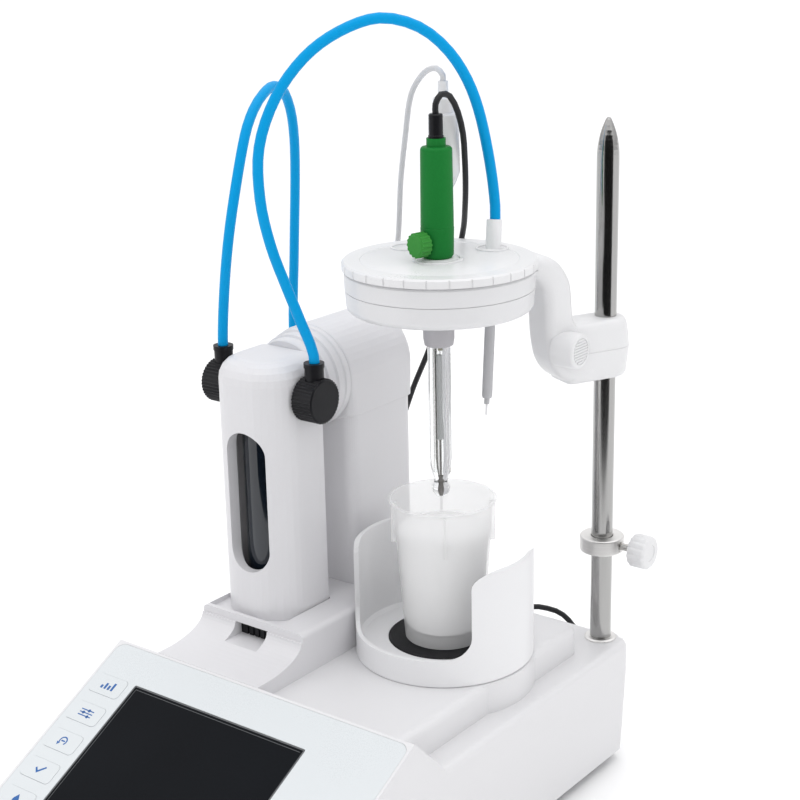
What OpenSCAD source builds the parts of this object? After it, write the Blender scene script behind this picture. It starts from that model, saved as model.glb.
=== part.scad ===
// Automatic titrator: piston burette, magnetic stirrer and height-adjustable
// electrode holder on one desktop base.  Millimetres, +Z up.  The origin is the
// centre of the base's footprint, on the table.

/* [Base] */
// Width of the base
base_w = 202; // [190:1:230]
// Depth of the base
base_d = 315; // [300:1:350]
// Height of the rubber feet
foot_h = 6; // [4:0.5:10]
// Height of the joint between the lower tray and the upper cover
seam_z = 56.8; // [50:0.2:60]
// Height of the low ledge that runs round the deck
ledge_z = 75.8; // [72:0.2:80]
// Height of the deck that carries the stirrer and the burette
deck_z = 93; // [88:0.5:100]
// Width of the ledge on the right-hand side
ledge_w = 15.6; // [12:0.2:20]
// Depth of the ledge behind the deck
ledge_rear = 32; // [26:0.5:40]
// Wall thickness of the moulded housings
wall = 2.6; // [2:0.1:3.2]
// Corner radius of the base in plan
corner_r = 7; // [6:0.5:12]
// Rounding of the upper edges
edge_r = 4; // [2:0.5:5]
// How far the tray draws in from its joint to its underside
tray_draft = 2.5; // [0:0.5:3]

/* [Display] */
// Length of the sloping display face
panel_l = 122; // [118:1:134]
// Slope of the display face
panel_tilt = 28; // [22:1:32]
// Height of the display face's rear edge
panel_z = 101; // [98:0.5:106]
// Height of the housing's blunt front end
nose_h = 14; // [10:0.5:18]
// Thickness of the front film and the window
film_t = 1; // [0.8:0.1:1.6]
// Bare rim round the film
film_rim = 1.6; // [1:0.1:3]
// Width of the display window
lcd_w = 119; // [100:1:125]
// Height of the display window along the slope
lcd_h = 88; // [70:1:92]
// Distance from the rear edge down to the window
lcd_top = 22.4; // [18:0.2:28]
// Distance from the left side to the window
lcd_left = 31; // [28:0.5:40]
// Number of keys beside the window
key_n = 5; // [3:1:5]
// Distance between neighbouring keys
key_pitch = 19; // [17:0.5:20]
// Width of a key
key_w = 22; // [16:0.5:24]
// Height of a key along the slope
key_h = 12; // [10:0.5:14]
// Travel of a key
key_travel = 0.5; // [0.3:0.1:0.6]

/* [Burette] */
// Distance from the left side to the burette's centre line
col_left = 56.5; // [54:0.5:60]
// Width of the burette housing
burette_w = 50; // [46:0.5:54]
// Depth of the burette housing
burette_dp = 39.5; // [36:0.5:42]
// Plan radius of the burette's front corners
burette_r = 22; // [16:0.5:23]
// Radius of the burette's top corners
burette_top_r = 12; // [8:0.5:16]
// Height of the burette housing above its tray
burette_h = 143.5; // [138:0.5:150]
// Width of the viewing slot
slot_w = 25; // [18:0.5:28]
// Height of the viewing slot
slot_h = 79; // [60:0.5:84]
// Bore of the glass cylinder
bore_d = 19; // [16:0.5:21]
// Wall of the glass cylinder
glass_t = 2; // [1.5:0.1:2.4]
// Stroke of the piston
stroke = 72; // [60:1:74]
// Outer diameter of the knurled hose elbows
elbow_d = 24.4; // [20:0.2:26]
// Thickness of the knurled hose elbows
elbow_t = 12.6; // [12:0.2:18]
// Outer diameter of the hose
hose_d = 5.6; // [4:0.2:6.4]

/* [Pump tower] */
// Height of the dock's rim above the deck
dock_h = 23.6; // [20:0.2:28]
// Width of the dock
dock_w = 72; // [70:0.5:78]
// Depth of the tray that holds the burette's foot
tray_sink = 3.2; // [2:0.1:4]
// Radius of the tower's round head
head_r = 28.5; // [27:0.5:30]
// Depth of the tower from front to back
tower_dp = 56.5; // [52:0.5:60]
// Height of the valve's axis above the dock's rim
valve_up = 120; // [116:0.5:126]
// Length of the neck between burette and tower
neck_l = 21; // [16:0.5:24]

/* [Stirrer] */
// Outer radius of the beaker guard
guard_r = 48.6; // [46:0.2:50]
// Wall of the beaker guard
guard_t = 2.4; // [1.8:0.1:3]
// Height of the guard's two wings
guard_h = 62.4; // [50:0.2:70]
// Height of the guard's low front lip
guard_lip = 15; // [12:0.5:20]
// Thickness of the guard's floor
guard_floor = 8; // [6:0.5:9]
// Width of the guard's opening
guard_gap = 77.6; // [70:0.2:82]
// Radius of the black stirrer pad
pad_r = 30.7; // [26:0.1:34]
// Rim radius of the beaker
beaker_r = 29; // [26:0.5:32]
// Foot radius of the beaker
beaker_foot_r = 21.5; // [18:0.5:24]
// Height of the beaker
beaker_h = 80; // [70:0.5:90]
// Wall of the beaker
beaker_t = 1.2; // [1:0.1:1.6]

/* [Support rod] */
// Diameter of the rod
rod_d = 12; // [10:0.5:13]
// Height of the rod's tip above the table
rod_top = 375; // [360:1:400]
// Distance from the rear of the base to the rod
rod_in = 8.3; // [8:0.1:12]
// Diameter of the stop collar
collar_d = 25; // [22:0.5:28]
// Height of the stop collar
collar_h = 9; // [8:0.5:12]
// Height of the stop collar's underside
collar_z = 130.4; // [120:0.2:140]
// Diameter of the collar's thumb knob
thumb_d = 19; // [16:0.5:22]

/* [Electrode holder] */
// Height of the holder's upper face
holder_z = 311.5; // [305:0.5:316]
// Radius of the notched locking ring
ring_r = 50.2; // [48:0.1:51]
// Thickness of the notched locking ring
ring_t = 4.8; // [4:0.1:6]
// Number of notches round the ring
notch_n = 28; // [20:1:36]
// Depth of the holder's body below the ring
body_h = 19.2; // [16:0.2:22]
// Radius of the recessed insert
insert_r = 36; // [33:0.5:37]
// Radius of the clamp block round the rod
clamp_r = 15; // [13.5:0.1:16]
// Height of the clamp block
clamp_h = 35; // [30:0.5:40]
// Height of the clamp block's top
clamp_z = 268.5; // [262:0.5:276]
// Width of the arm
arm_w = 24; // [18:0.5:26]
// Diameter of the release button
button_d = 19.4; // [14:0.2:20]
// Travel of the release button
button_travel = 3; // [2:0.5:4]

/* [Electrodes] */
// Diameter of the electrode's cap
cap_d = 17; // [16:0.2:18]
// Length of the electrode's cap
cap_l = 56.5; // [50:0.5:66]
// Diameter of the electrode's glass shaft
shaft_d = 12; // [11:0.2:13]
// Length of the glass below the cap
shaft_l = 130; // [120:0.5:134]
// Diameter of the temperature probe
probe_d = 3.2; // [3:0.1:4]
// Length of the temperature probe below the holder
probe_l = 100; // [80:1:104]

/* [Hidden] */
$fn = 48;

fit = 0.05;          // radial play of shafts in their bearings
slip = 0.3;          // play between parts that only lie side by side
hole_over = 1;       // how far cutters run past the faces that they cut

// Base
half_w = base_w / 2;
half_d = base_d / 2;
plate_t = 2.4;
boss_r = 5;
deck_x0 = -half_w + col_left - 27.5;
deck_x1 = half_w - ledge_w;
deck_y1 = half_d - ledge_rear;
panel_y = -half_d + panel_l * cos(panel_tilt);
nose_z = panel_z - panel_l * sin(panel_tilt);
back_y = panel_y + panel_z - ledge_z;      // the housing's rear face slopes at 45 degrees
tray_front_z = nose_z - nose_h;
tray_step_y = -half_d + (seam_z - tray_front_z) / tan(panel_tilt);

// Stirrer and rod
stir_x = deck_x1 - 44;
stir_y = deck_y1 - 68.5;
floor_z = deck_z + guard_floor;
pad_t = 0.6;
beaker_z = floor_z + pad_t;
rod_x = half_w - ledge_w;
rod_y = half_d - rod_in;
rod_z0 = seam_z + 3;

// Burette and pump
col_x = -half_w + col_left;
dock_x0 = deck_x0;
dock_x1 = dock_x0 + dock_w;
dock_z = deck_z + dock_h;
lip_y = stir_y - guard_r - 22;
tray_z = dock_z - tray_sink;
tray_rim = 2.6;
bur_y0 = lip_y + 6;
bur_y1 = bur_y0 + burette_dp;
bur_z1 = tray_z + burette_h;
bur_cy = (bur_y0 + bur_y1) / 2;
valve_z = dock_z + valve_up;
tower_y0 = bur_y1 + neck_l;
tower_y1 = tower_y0 + tower_dp;
head_low = valve_z - 20;
dock_y1 = tower_y1 + 9;
slot_x = col_x + 2.5;
slot_z = tray_z + 66.5;
glass_z0 = tray_z + 14;
glass_r = bore_d / 2 + glass_t;
glass_z1 = glass_z0 + stroke + 22;
screw_d = 8;
screw_y = tower_y0 + 27;
motor_w = 42;
motor_h = 38;
guide_d = 6;
guide_y = bur_cy + 34;
carriage_t = 8;
carriage_z = 28;
piston_t = 8;
piston_z = glass_z0 + 8;
rod_foot_z = carriage_z + carriage_t;
elbow_gap = 1;
valve_y = bur_cy + 6;       // the valve sits a little behind the cylinder
shaft_bore = 9;

// Holder
disc_x = stir_x;
disc_y = stir_y;
ring_z = holder_z - ring_t;
body_r = ring_r - 1;
body_top = ring_z - 0.6;
body_z0 = body_top - body_h;
arm_dx = rod_x - disc_x;
arm_dy = rod_y - disc_y;
arm_len = sqrt(arm_dx * arm_dx + arm_dy * arm_dy);
arm_dir = atan2(arm_dy, arm_dx);
clamp_z0 = clamp_z - clamp_h;
bush_t = 2.4;
bush_r = rod_d / 2 + fit + bush_t;
el_x = disc_x + 0.8;
el_y = disc_y - 2.6;
el_seat = holder_z + 1;
sleeve_x = disc_x + 10;
sleeve_y = disc_y + 34;
sleeve_lean = 9.5;
sleeve_turn = 18;            // it leans towards the beaker's centre
probe_x = disc_x - 9;
probe_y = disc_y + 17.4;
insert_z = body_top + ring_t - 2.2;

// Hose and cable routes: chosen points along each run
aspiration_route = [
    [-76.8, 18.15, 245], [-76.8, 18.15, 261], [-74, 18.5, 288], [-70.3, 19, 312],
    [-67.2, 22, 336], [-67.9, 34, 369], [-70.3, 44, 381], [-73.6, 56, 388],
    [-79, 71, 390.5], [-84, 85, 385], [-88, 95, 370], [-94, 103, 345],
    [-101, 107, 290], [-106, 109, 238], [-106, 112, 160], [-106, 116, 70],
    [-106, 122, 28], [-107, 133, 8], [-107, 150, 3], [-100, 172, 3],
    [-84, 188, 3], [-60, 194, 3]
];
dosing_route = [
    [-12.2, 18.15, 245], [-12.2, 18.15, 261], [-16, 14, 278], [-21, 9, 298],
    [-26, 4, 320], [-29, 1, 344], [-28, 1, 370], [-22, 8, 394],
    [-12, 19, 413], [0, 32, 425], [14, 47, 431], [27, 62, 426],
    [37, 74, 413], [44, 83, 394], [48, 89.5, 368], [50.3, 94.5, 333.2],
    [51.25, 91.5, 314.5]
];
electrode_route = [
    [42.2, 54.4, 385], [42.2, 54.4, 389.5], [43, 58, 394], [44, 64, 392.6],
    [45, 69.5, 384], [44.8, 74, 372.7], [42.8, 78, 362.3], [39, 84, 348.5],
    [33, 92, 333], [21.5, 105.5, 313.5], [5, 114, 276], [-11, 117, 241],
    [-26, 119.5, 212], [-37, 121, 182], [-40, 125, 145], [-32, 134, 108],
    [-12, 142, 86], [12, 146, 79], [28, 147, 79.5], [42, 151, 82.6],
    [54, 159, 77.5], [61, 167, 60], [64, 172, 22], [66, 180, 5],
    [63, 194, 1.7], [53, 204, 6], [47, 202, 18], [46, 195, 27],
    [46, 188, 30], [46, 181.7, 30]
];
probe_route = [
    [32.4, 74.4, 398.5], [32.4, 74.4, 401.2], [26.5, 77, 404.2], [15, 82, 401],
    [3, 86.5, 389], [-6, 92.5, 366], [-14, 98, 340], [-21.4, 104, 306],
    [-31, 109, 278], [-42, 113, 240], [-53, 117, 195], [-58, 121, 150],
    [-57, 133, 104], [-54, 147, 81], [-52, 158, 78.5], [-51, 166, 58],
    [-49, 174, 20], [-38, 186, 1.7], [-16, 199, 1.7], [8, 205, 4],
    [20, 203, 16], [24, 195, 27], [24, 188, 30], [24, 181.7, 30]
];

// Points on a circular arc, from angle a0 to angle a1
function arc(cx, cy, r, a0, a1, n = 10) =
    [for (i = [0 : n]) let (a = a0 + (a1 - a0) * i / n) [cx + r * cos(a), cy + r * sin(a)]];

// Round post whose upper edge is rounded by e
module puck(r, e, h) {
    rotate_extrude($fn = 36)
        polygon(concat([[0, 0], [r, 0]], arc(r - e, h - e, e, 0, 90, 5), [[0, h]]));
}

// Block with upright corners of radius rc and a top edge rounded by e
module pillow(x0, x1, y0, y1, z0, z1, rc, e) {
    hull()
        for (x = [x0 + rc, x1 - rc], y = [y0 + rc, y1 - rc])
            translate([x, y, z0]) puck(rc, e, z1 - z0);
}

// Flat plate with true round corners
module plate(x0, x1, y0, y1, z0, z1, rc) {
    translate([x0 + rc, y0, z0]) cube([x1 - x0 - 2 * rc, y1 - y0, z1 - z0]);
    translate([x0, y0 + rc, z0]) cube([x1 - x0, y1 - y0 - 2 * rc, z1 - z0]);
    for (x = [x0 + rc, x1 - rc], y = [y0 + rc, y1 - rc])
        translate([x, y, z0]) cylinder(r = rc, h = z1 - z0);
}

// Block between two corners
module block(p, q) {
    translate(p) cube([q[0] - p[0], q[1] - p[1], q[2] - p[2]]);
}

// Side outline in Y and Z, extruded across X
module across(x0, x1, outline) {
    translate([x0, 0, 0]) rotate([90, 0, 90]) linear_extrude(x1 - x0) polygon(outline);
}

// Round bar along +Y or +X
module bar_y(x, z, r, y0, y1) {
    translate([x, y0, z]) rotate([-90, 0, 0]) cylinder(r = r, h = y1 - y0);
}
module bar_x(y, z, r, x0, x1) {
    translate([x0, y, z]) rotate([0, 90, 0]) cylinder(r = r, h = x1 - x0);
}
module bar_z(x, y, r, z0, z1) {
    translate([x, y, z0]) cylinder(r = r, h = z1 - z0);
}

// Frame of the display face: X across, -Y down the slope, Z out of the face
module on_panel() {
    translate([0, panel_y, panel_z]) rotate([panel_tilt, 0, 0]) children();
}

// ---------------------------------------------------------------- base
module tray_form(inset, z0, z1) {
    hull()
        for (x = [-1, 1], y = [-1, 1])
            translate([x * (half_w - corner_r), y * (half_d - corner_r), z0])
                cylinder(r1 = corner_r - inset - tray_draft * (seam_z - z0) / (seam_z - foot_h),
                         r2 = corner_r - inset, h = z1 - z0);
}

module base_tray() {
    color("white") {
        difference() {
            tray_form(0, foot_h, seam_z);
            tray_form(wall - 0.5, foot_h - hole_over, seam_z + hole_over);
            across(-half_w - hole_over, half_w + hole_over, [
                [-half_d - hole_over, tray_front_z - hole_over * tan(panel_tilt)],
                [tray_step_y, seam_z], [tray_step_y, seam_z + hole_over],
                [-half_d - hole_over, seam_z + hole_over]
            ]);
            block([-panel_hw - slip, half_d - 2 * wall - 2, rear_z0 - slip],
                  [panel_hw + slip, half_d + hole_over, rear_z1 + slip]);
        }
        difference() {
            for (x = [-1, 1], y = [-1, 1])
                bar_z(x * (half_w - 9), y * (half_d - 9), boss_r, foot_h + plate_t, foot_h + 16);
            for (x = [-1, 1], y = [-1, 1])
                bar_z(x * (half_w - 9), y * (half_d - 9), 1.5, foot_h, foot_h + 13);
        }
    }
}

// Space in front of the cover that the display housing takes
module display_space(gap = 0) {
    across(-half_w - 5, half_w + 5, [
        [-half_d - 5, 0], [back_y + gap, 0], [back_y + gap, ledge_z],
        [panel_y + gap, panel_z], [panel_y + gap - 20, panel_z + 60], [-half_d - 5, panel_z + 60]
    ]);
}

module base_cover() {
    color("white")
    difference() {
        union() {
            difference() {
                union() {
                    pillow(-half_w, half_w, back_y - 20, half_d, seam_z, ledge_z, corner_r, edge_r);
                    pillow(deck_x0, deck_x1, back_y - 60, deck_y1, seam_z + 1, deck_z, corner_r, edge_r);
                    bar_z(stir_x, stir_y, guard_r + 0.9, seam_z + 1, deck_z);
                }
                pillow(-half_w + wall, half_w - wall, back_y + wall, half_d - wall,
                       seam_z - hole_over, ledge_z - wall, corner_r - wall, 1);
                pillow(deck_x0 + wall, deck_x1 - wall, back_y + wall, deck_y1 - wall,
                       seam_z - hole_over, deck_z - wall, corner_r - wall, 1);
                bar_z(stir_x, stir_y, guard_r - wall, seam_z - hole_over, deck_z - wall);
                block([well_x0, well_y0, seam_z], [well_x1, well_y1, deck_z + hole_over]);
            }
            bar_z(rod_x, rod_y, boss_rod_r, seam_z, ledge_z - 1);
            intersection() {
                block([rod_x - boss_rod_r, rod_y, seam_z], [rod_x + boss_rod_r, half_d - 1, ledge_z - 1]);
                bar_z(rod_x, rod_y, boss_rod_r + 2, seam_z, ledge_z);
            }
            for (a = [30, 150, 270])
                bar_z(stir_x + 36 * cos(a), stir_y + 36 * sin(a), 3.5, stir_flange_z, deck_z - 1);
        }
        display_space();
        bar_z(rod_x, rod_y, socket_r + fit, rod_z0, ledge_z + hole_over);
    }
}

module bottom_plate() {
    inset = wall + tray_draft + 0.2;
    color("gainsboro") {
        difference() {
            plate(-half_w + inset, half_w - inset, -half_d + inset, half_d - inset,
                  foot_h, foot_h + plate_t, 2);
            for (x = [-60 : 8 : -12])
                block([x, -90, foot_h - hole_over], [x + 3, -50, foot_h + plate_t + hole_over]);
            for (x = [-1, 1], y = [-1, 1])
                bar_z(x * (half_w - 9), y * (half_d - 9), 1.8, foot_h - hole_over, foot_h + 5);
        }
        difference() {
            bar_z(col_x, screw_y, 9, foot_h + 1, foot_h + 14);
            bar_z(col_x, screw_y, screw_d / 2 - 1 + fit, foot_h + 6, foot_h + 15);
        }
        difference() {
            bar_z(col_x, guide_y, 7, foot_h + 1, foot_h + 10);
            bar_z(col_x, guide_y, guide_d / 2 + fit, foot_h + 5, foot_h + 11);
        }
    }
}

module rubber_feet() {
    color("dimgray")
    for (x = [-1, 1], y = [-1, 1])
        translate([x * (half_w - 24), y * (half_d - 22), 0])
            rotate_extrude()
                polygon([[0, 0], [8, 0], [9, 1], [9.5, foot_h], [0, foot_h]]);
}

// ---------------------------------------------------------------- display
lcd_x0 = -half_w + lcd_left;
lcd_x1 = lcd_x0 + lcd_w;
key_x = -half_w + lcd_left / 2;
key_top = lcd_top + (lcd_h - (key_n - 1) * key_pitch) / 2;
lcd_body = 8;
film_hw = half_w - film_rim;
key_gap = 0.12;
key_proud = 0.15;

module display_housing() {
    color("white")
    difference() {
        intersection() {
            across(-half_w, half_w, [
                [panel_y, panel_z], [-half_d, nose_z], [-half_d, tray_front_z],
                [tray_step_y, seam_z], [back_y, seam_z], [back_y, ledge_z]
            ]);
            plate(-half_w, half_w, -half_d, back_y + 20, 0, panel_z + 5, corner_r);
        }
        // Hollow behind the face
        across(-half_w + wall, half_w - wall, [
            [panel_y + 2, panel_z - 9], [-half_d + 6, nose_z - 5], [-half_d + 6, tray_front_z - 8],
            [tray_step_y, seam_z - 2], [back_y - wall, seam_z - 2], [back_y - wall, ledge_z - 2]
        ]);
        // Seat of the film, the window and the keys
        on_panel() {
            plate(-film_hw - 0.1, film_hw + 0.1, -panel_l + film_rim - 0.1, -film_rim + 0.1,
                  -film_t - 0.1, 10, corner_r - film_rim);
            plate(lcd_x0 - 3, lcd_x1 + 3, -lcd_top - lcd_h - 3, -lcd_top + 3, -9, 1, 2);
            plate(key_x - key_w / 2 - 2, lcd_x0 + 2,
                  -key_top - (key_n - 1) * key_pitch - key_h / 2 - 2, -key_top + key_h / 2 + 2,
                  -9, 1, 2);
        }
    }
}

module display_film() {
    color("aliceblue")
    on_panel() difference() {
        plate(-film_hw, film_hw, -panel_l + film_rim, -film_rim, -film_t, 0, corner_r - film_rim);
        plate(lcd_x0, lcd_x1, -lcd_top - lcd_h, -lcd_top, -film_t - hole_over, hole_over, 1);
        for (i = [0 : key_n - 1])
            key_plate(i, key_gap, -film_t - hole_over, hole_over);
    }
}

module display_window() {
    color("#101418")
    on_panel()
        plate(lcd_x0 + 0.15, lcd_x1 - 0.15, -lcd_top - lcd_h + 0.15, -lcd_top - 0.15, -film_t, -0.15, 0.9);
}

// Display panel, and the board with the key switches, mounted together
module display_board() {
    color("dimgray")
    on_panel() {
        plate(lcd_x0 - 2.5, lcd_x1 + 2.5, -lcd_top - lcd_h - 2.5, -lcd_top + 2.5,
              -film_t - lcd_body - 0.1, -film_t - 0.1, 1);
        plate(lcd_x0 + 8, lcd_x1 - 8, -lcd_top - lcd_h + 8, -lcd_top - 8,
              -film_t - lcd_body - 4, -film_t - lcd_body, 1);
        plate(key_x - key_w / 2 - 1.5, lcd_x0,
              -key_top - (key_n - 1) * key_pitch - key_h / 2 - 1.5, -key_top + key_h / 2 + 1.5,
              -film_t - 3.4, -film_t - 1.8, 1);
        for (i = [0 : key_n - 1])
            translate([key_x, -key_top - i * key_pitch, -film_t - 1.9]) cylinder(r = 4, h = 1.1);
    }
}

module key_plate(i, grow, z0, z1) {
    y = -key_top - i * key_pitch;
    plate(key_x - key_w / 2 - grow, key_x + key_w / 2 + grow,
          y - key_h / 2 - grow, y + key_h / 2 + grow, z0, z1, 2.5 + grow);
}

module key(i) {
    if (i < key_n)
        color("lavender")
        on_panel() key_plate(i, 0, -film_t - 0.2, key_proud);
}
module key_1() { key(0); }
module key_2() { key(1); }
module key_3() { key(2); }
module key_4() { key(3); }
module key_5() { key(4); }

// ---------------------------------------------------------------- electronics and rear
board_z = foot_h + plate_t + 6;
panel_hw = 74;
rear_z0 = foot_h + 8;
rear_z1 = rear_z0 + 32;
rear_y = half_d - 2;
bnc_x = 24;
bnc_z = rear_z0 + 16;

module main_board() {
    color("darkgreen") {
        block([-10, -110, board_z], [80, 30, board_z + 1.6]);
        for (x = [-4, 74], y = [-104, 24])
            bar_z(x, y, 3, foot_h + plate_t, board_z + 0.2);
        block([10, -80, board_z + 1.5], [38, -52, board_z + 4]);
        block([50, -60, board_z + 1.5], [66, -38, board_z + 9]);
        for (x = [8 : 9 : 62])
            bar_z(x, -10, 3.2, board_z + 1.5, board_z + 10);
    }
}

module rear_panel() {
    color("lightgray")
    difference() {
        union() {
            block([-panel_hw, rear_y - 2, rear_z0], [panel_hw, rear_y, rear_z1]);
            block([-panel_hw, half_d - 2 * wall - 2, rear_z0], [-panel_hw + 3, rear_y - 1, rear_z1]);
            block([panel_hw - 3, half_d - 2 * wall - 2, rear_z0], [panel_hw, rear_y - 1, rear_z1]);
        }
        bar_y(bnc_x, bnc_z, 5, rear_y - 4, rear_y + hole_over);
        bar_y(bnc_x + 22, bnc_z, 5, rear_y - 4, rear_y + hole_over);
        bar_y(jack_x, bnc_z, 4.5, rear_y - 4, rear_y + hole_over);
        block([usb_x - 6.5, rear_y - 4, bnc_z - 6], [usb_x + 6.5, rear_y + hole_over, bnc_z + 6]);
        block([switch_x - 7.3, rear_y - 4, bnc_z - 10.8], [switch_x + 7.3, rear_y + hole_over, bnc_z + 10.8]);
    }
}

module rear_sockets() {
    color("silver") {
        // Two round sockets for the electrode and the temperature probe
        for (x = [bnc_x, bnc_x + bnc_pitch])
            difference() {
                union() {
                    bar_y(x, bnc_z, 4.9, rear_y - 8, rear_y + 9);
                    bar_y(x, bnc_z, 7, rear_y, rear_y + 2);
                    block([x - 6, rear_y - 9, bnc_z - 6], [x + 6, rear_y - 2.2, bnc_z + 6]);
                }
                bar_y(x, bnc_z, 3.9, rear_y - 2, rear_y + 10);
            }
        // Power jack
        difference() {
            union() {
                bar_y(jack_x, bnc_z, 4.4, rear_y - 8, rear_y + 1.5);
                bar_y(jack_x, bnc_z, 5.6, rear_y, rear_y + 1.2);
            }
            bar_y(jack_x, bnc_z, 2.9, rear_y - 7, rear_y + 3);
        }
        bar_y(jack_x, bnc_z, 1, rear_y - 7.5, rear_y);
        // Data socket
        difference() {
            block([usb_x - 6.2, rear_y - 9, bnc_z - 5.7], [usb_x + 6.2, rear_y + 0.3, bnc_z + 5.7]);
            block([usb_x - 4.2, rear_y - 7, bnc_z - 3.9], [usb_x + 4.2, rear_y + 1, bnc_z + 3.9]);
        }
    }
}
bnc_pitch = 22;
jack_x = -8;
usb_x = -28;
switch_x = -54;

// Plugs of the electrode's and the probe's cables
module cable_plugs() {
    color("#202020")
    for (x = [bnc_x, bnc_x + bnc_pitch])
        translate([x, rear_y + 2.2, bnc_z]) rotate([-90, 0, 0])
            rotate_extrude()
                polygon([[5, 0], [7.2, 0], [7.2, 9], [6, 10], [5.6, 14], [4, 14.6], [3.6, 20],
                         [2.4, 24], [0, 24], [0, 8], [5, 8]]);
}

module power_switch() {
    color("black") {
        translate([switch_x, rear_y - 1, bnc_z]) rotate([0, 90, 0])
            linear_extrude(13.6, center = true)
                polygon([[-9.5, 1.5], [-10, -3], [10, -3], [9.5, 4], [0, 1]]);
        // Pivot pins
        bar_x(rear_y - 1, bnc_z, 0.9, switch_x - 7.2, switch_x + 7.2);
    }
}

// ---------------------------------------------------------------- dock and tower
well_x0 = col_x - 17;
well_x1 = col_x + 17;
well_y0 = bur_cy - 12;
well_y1 = screw_y + 12;
notch_w = 23;
notch_x = dock_x0 + dock_w / 2;
notch_z0 = deck_z + 11.3;
lip_h = 4.4;
socket_r = 8.4;
boss_rod_r = 11;
stir_flange_z = deck_z - 15;

module pump_dock() {
    curve_y = lip_y - 31;
    low = panel_z + 0.2;
    color("white")
    difference() {
        pillow(dock_x0, dock_x1, panel_y - 30, dock_y1, deck_z, dock_z, 4, 3);
        // Scooped front that runs down to the display
        across(dock_x0 - 5, dock_x1 + 5, concat(
            [[panel_y - 60, low], [curve_y, low]],
            [for (i = [1 : 11]) let (t = 90 - i * 7.5)
                [curve_y + (lip_y - 1 - curve_y) * cos(t), dock_z - lip_h - (dock_z - lip_h - low) * sin(t)]],
            [[lip_y - 1, dock_z - lip_h], [lip_y, dock_z - lip_h], [lip_y, dock_z + 10],
             [panel_y - 60, dock_z + 10]]
        ));
        display_space();
        // Tray for the burette's foot
        plate(col_x - burette_w / 2 - 1, col_x + burette_w / 2 + 1, lip_y + tray_rim, bur_y1 + 1,
              tray_z, dock_z + 5, 2);
        // Finger notch with the latch's slot
        block([notch_x - notch_w / 2, lip_y - 40, notch_z0],
              [notch_x + notch_w / 2, lip_y + 12, dock_z - lip_h]);
        // Hollow underside
        difference() {
            block([dock_x0 + wall, lip_y + 6, deck_z - hole_over],
                  [dock_x1 - wall, dock_y1 - wall, tray_z - wall]);
            bar_z(stir_x, stir_y, guard_r + 0.5 + wall, deck_z - 2, dock_z);
        }
        // Room for the beaker guard
        bar_z(stir_x, stir_y, guard_r + 0.5, deck_z - 1, dock_z + 1);
        bar_z(col_x, bur_cy, rod_hole_r, deck_z, dock_z);
        bar_z(col_x, screw_y, screw_d / 2 + 1, deck_z, dock_z + 1);
        bar_z(col_x, guide_y, guide_d / 2 + fit, deck_z, tray_z - wall + 2);
    }
}
rod_hole_r = 5;

module burette_latch() {
    color("#202226")
    difference() {
        block([notch_x - notch_w / 2 + slip, lip_y + 3.5, notch_z0 + 0.4],
              [notch_x + notch_w / 2 - slip, lip_y + 14, tray_z - wall - 0.4]);
        for (x = [-6 : 4 : 6])
            block([notch_x + x - 0.6, lip_y + 3, notch_z0 - 1], [notch_x + x + 0.6, lip_y + 4.3, dock_z]);
    }
}

// Outer form of the tower, shrunk by s for its hollow
module tower_form(s) {
    hull() {
        translate([col_x, tower_y0 + s, valve_z]) rotate([-90, 0, 0])
            rotate_extrude() {
                h = tower_dp - 2 * s;
                r = head_r - s;
                polygon(concat([[0, 0], [r - 2, 0]], arc(r - 2, 2, 2, -90, 0, 3),
                               arc(r - 5, h - 5, 5, 0, 90, 5), [[0, h]]));
            }
        for (x = [col_x - head_r + 6, col_x + head_r - 6], y = [tower_y0 + 6, tower_y1 - 6])
            translate([x, y, head_low]) cylinder(r = 6 - s, h = 1);
    }
    pillow(col_x - head_r + 1 + s, col_x + head_r - 1 - s, tower_y0 + 0.5 + s, tower_y1 - 0.5 - s,
           s > 0 ? dock_z - hole_over : dock_z, head_low + 2, 7 - s, 0.5);
}
module tower_shell() {
    color("whitesmoke")
    difference() {
        tower_form(0);
        tower_form(wall);
        for (z = [dock_z + 20 : 7 : dock_z + 62])
            block([col_x - 14, tower_y1 - 6, z], [col_x + 14, tower_y1 + 2, z + 3]);
        bar_y(col_x, valve_z, shaft_bore, tower_y0 - 1, tower_y0 + 10);
    }
}

module valve_neck() {
    color("white")
    difference() {
        translate([col_x, bur_y1 + 0.1, valve_z]) rotate([-90, 0, 0])
            rotate_extrude()
                polygon(concat(
                    [[0, 0], [head_r - 5, 0]],
                    arc(head_r - 6, 2, 2, -60, 0, 3),
                    [[head_r - 4, 6], [head_r - 2.6, 6.6], [head_r - 2.6, 12],
                     [head_r - 1.2, 12.6], [head_r - 1.2, 17], [head_r - 0.2, 17.6],
                     [head_r - 0.2, neck_l - 0.2], [0, neck_l - 0.2]]));
        bar_y(col_x, valve_z, shaft_bore, bur_y1 - 1, tower_y0 + 1);
    }
}

module valve_motor() {
    color("gray") {
        difference() {
            bar_y(col_x, valve_z, 20, tower_y0 + wall + 0.1, tower_y0 + 34);
            bar_y(col_x, valve_z, 3 + fit, tower_y0, tower_y0 + 16);
        }
        bar_y(col_x, valve_z, 12, tower_y0 + 33, tower_y1 - wall - 0.5);
    }
}

module valve_rotor() {
    color("ivory") {
        bar_y(col_x, valve_z, 3, bur_y1, tower_y0 + 14);
        difference() {
            bar_y(col_x, valve_z, 6, valve_y - 6, tower_y0 - 2);
            bar_x(valve_y, valve_z, 1.2, col_x, col_x + 8);
            bar_z(col_x, valve_y, 1.2, valve_z - 8, valve_z);
        }
    }
}

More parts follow.
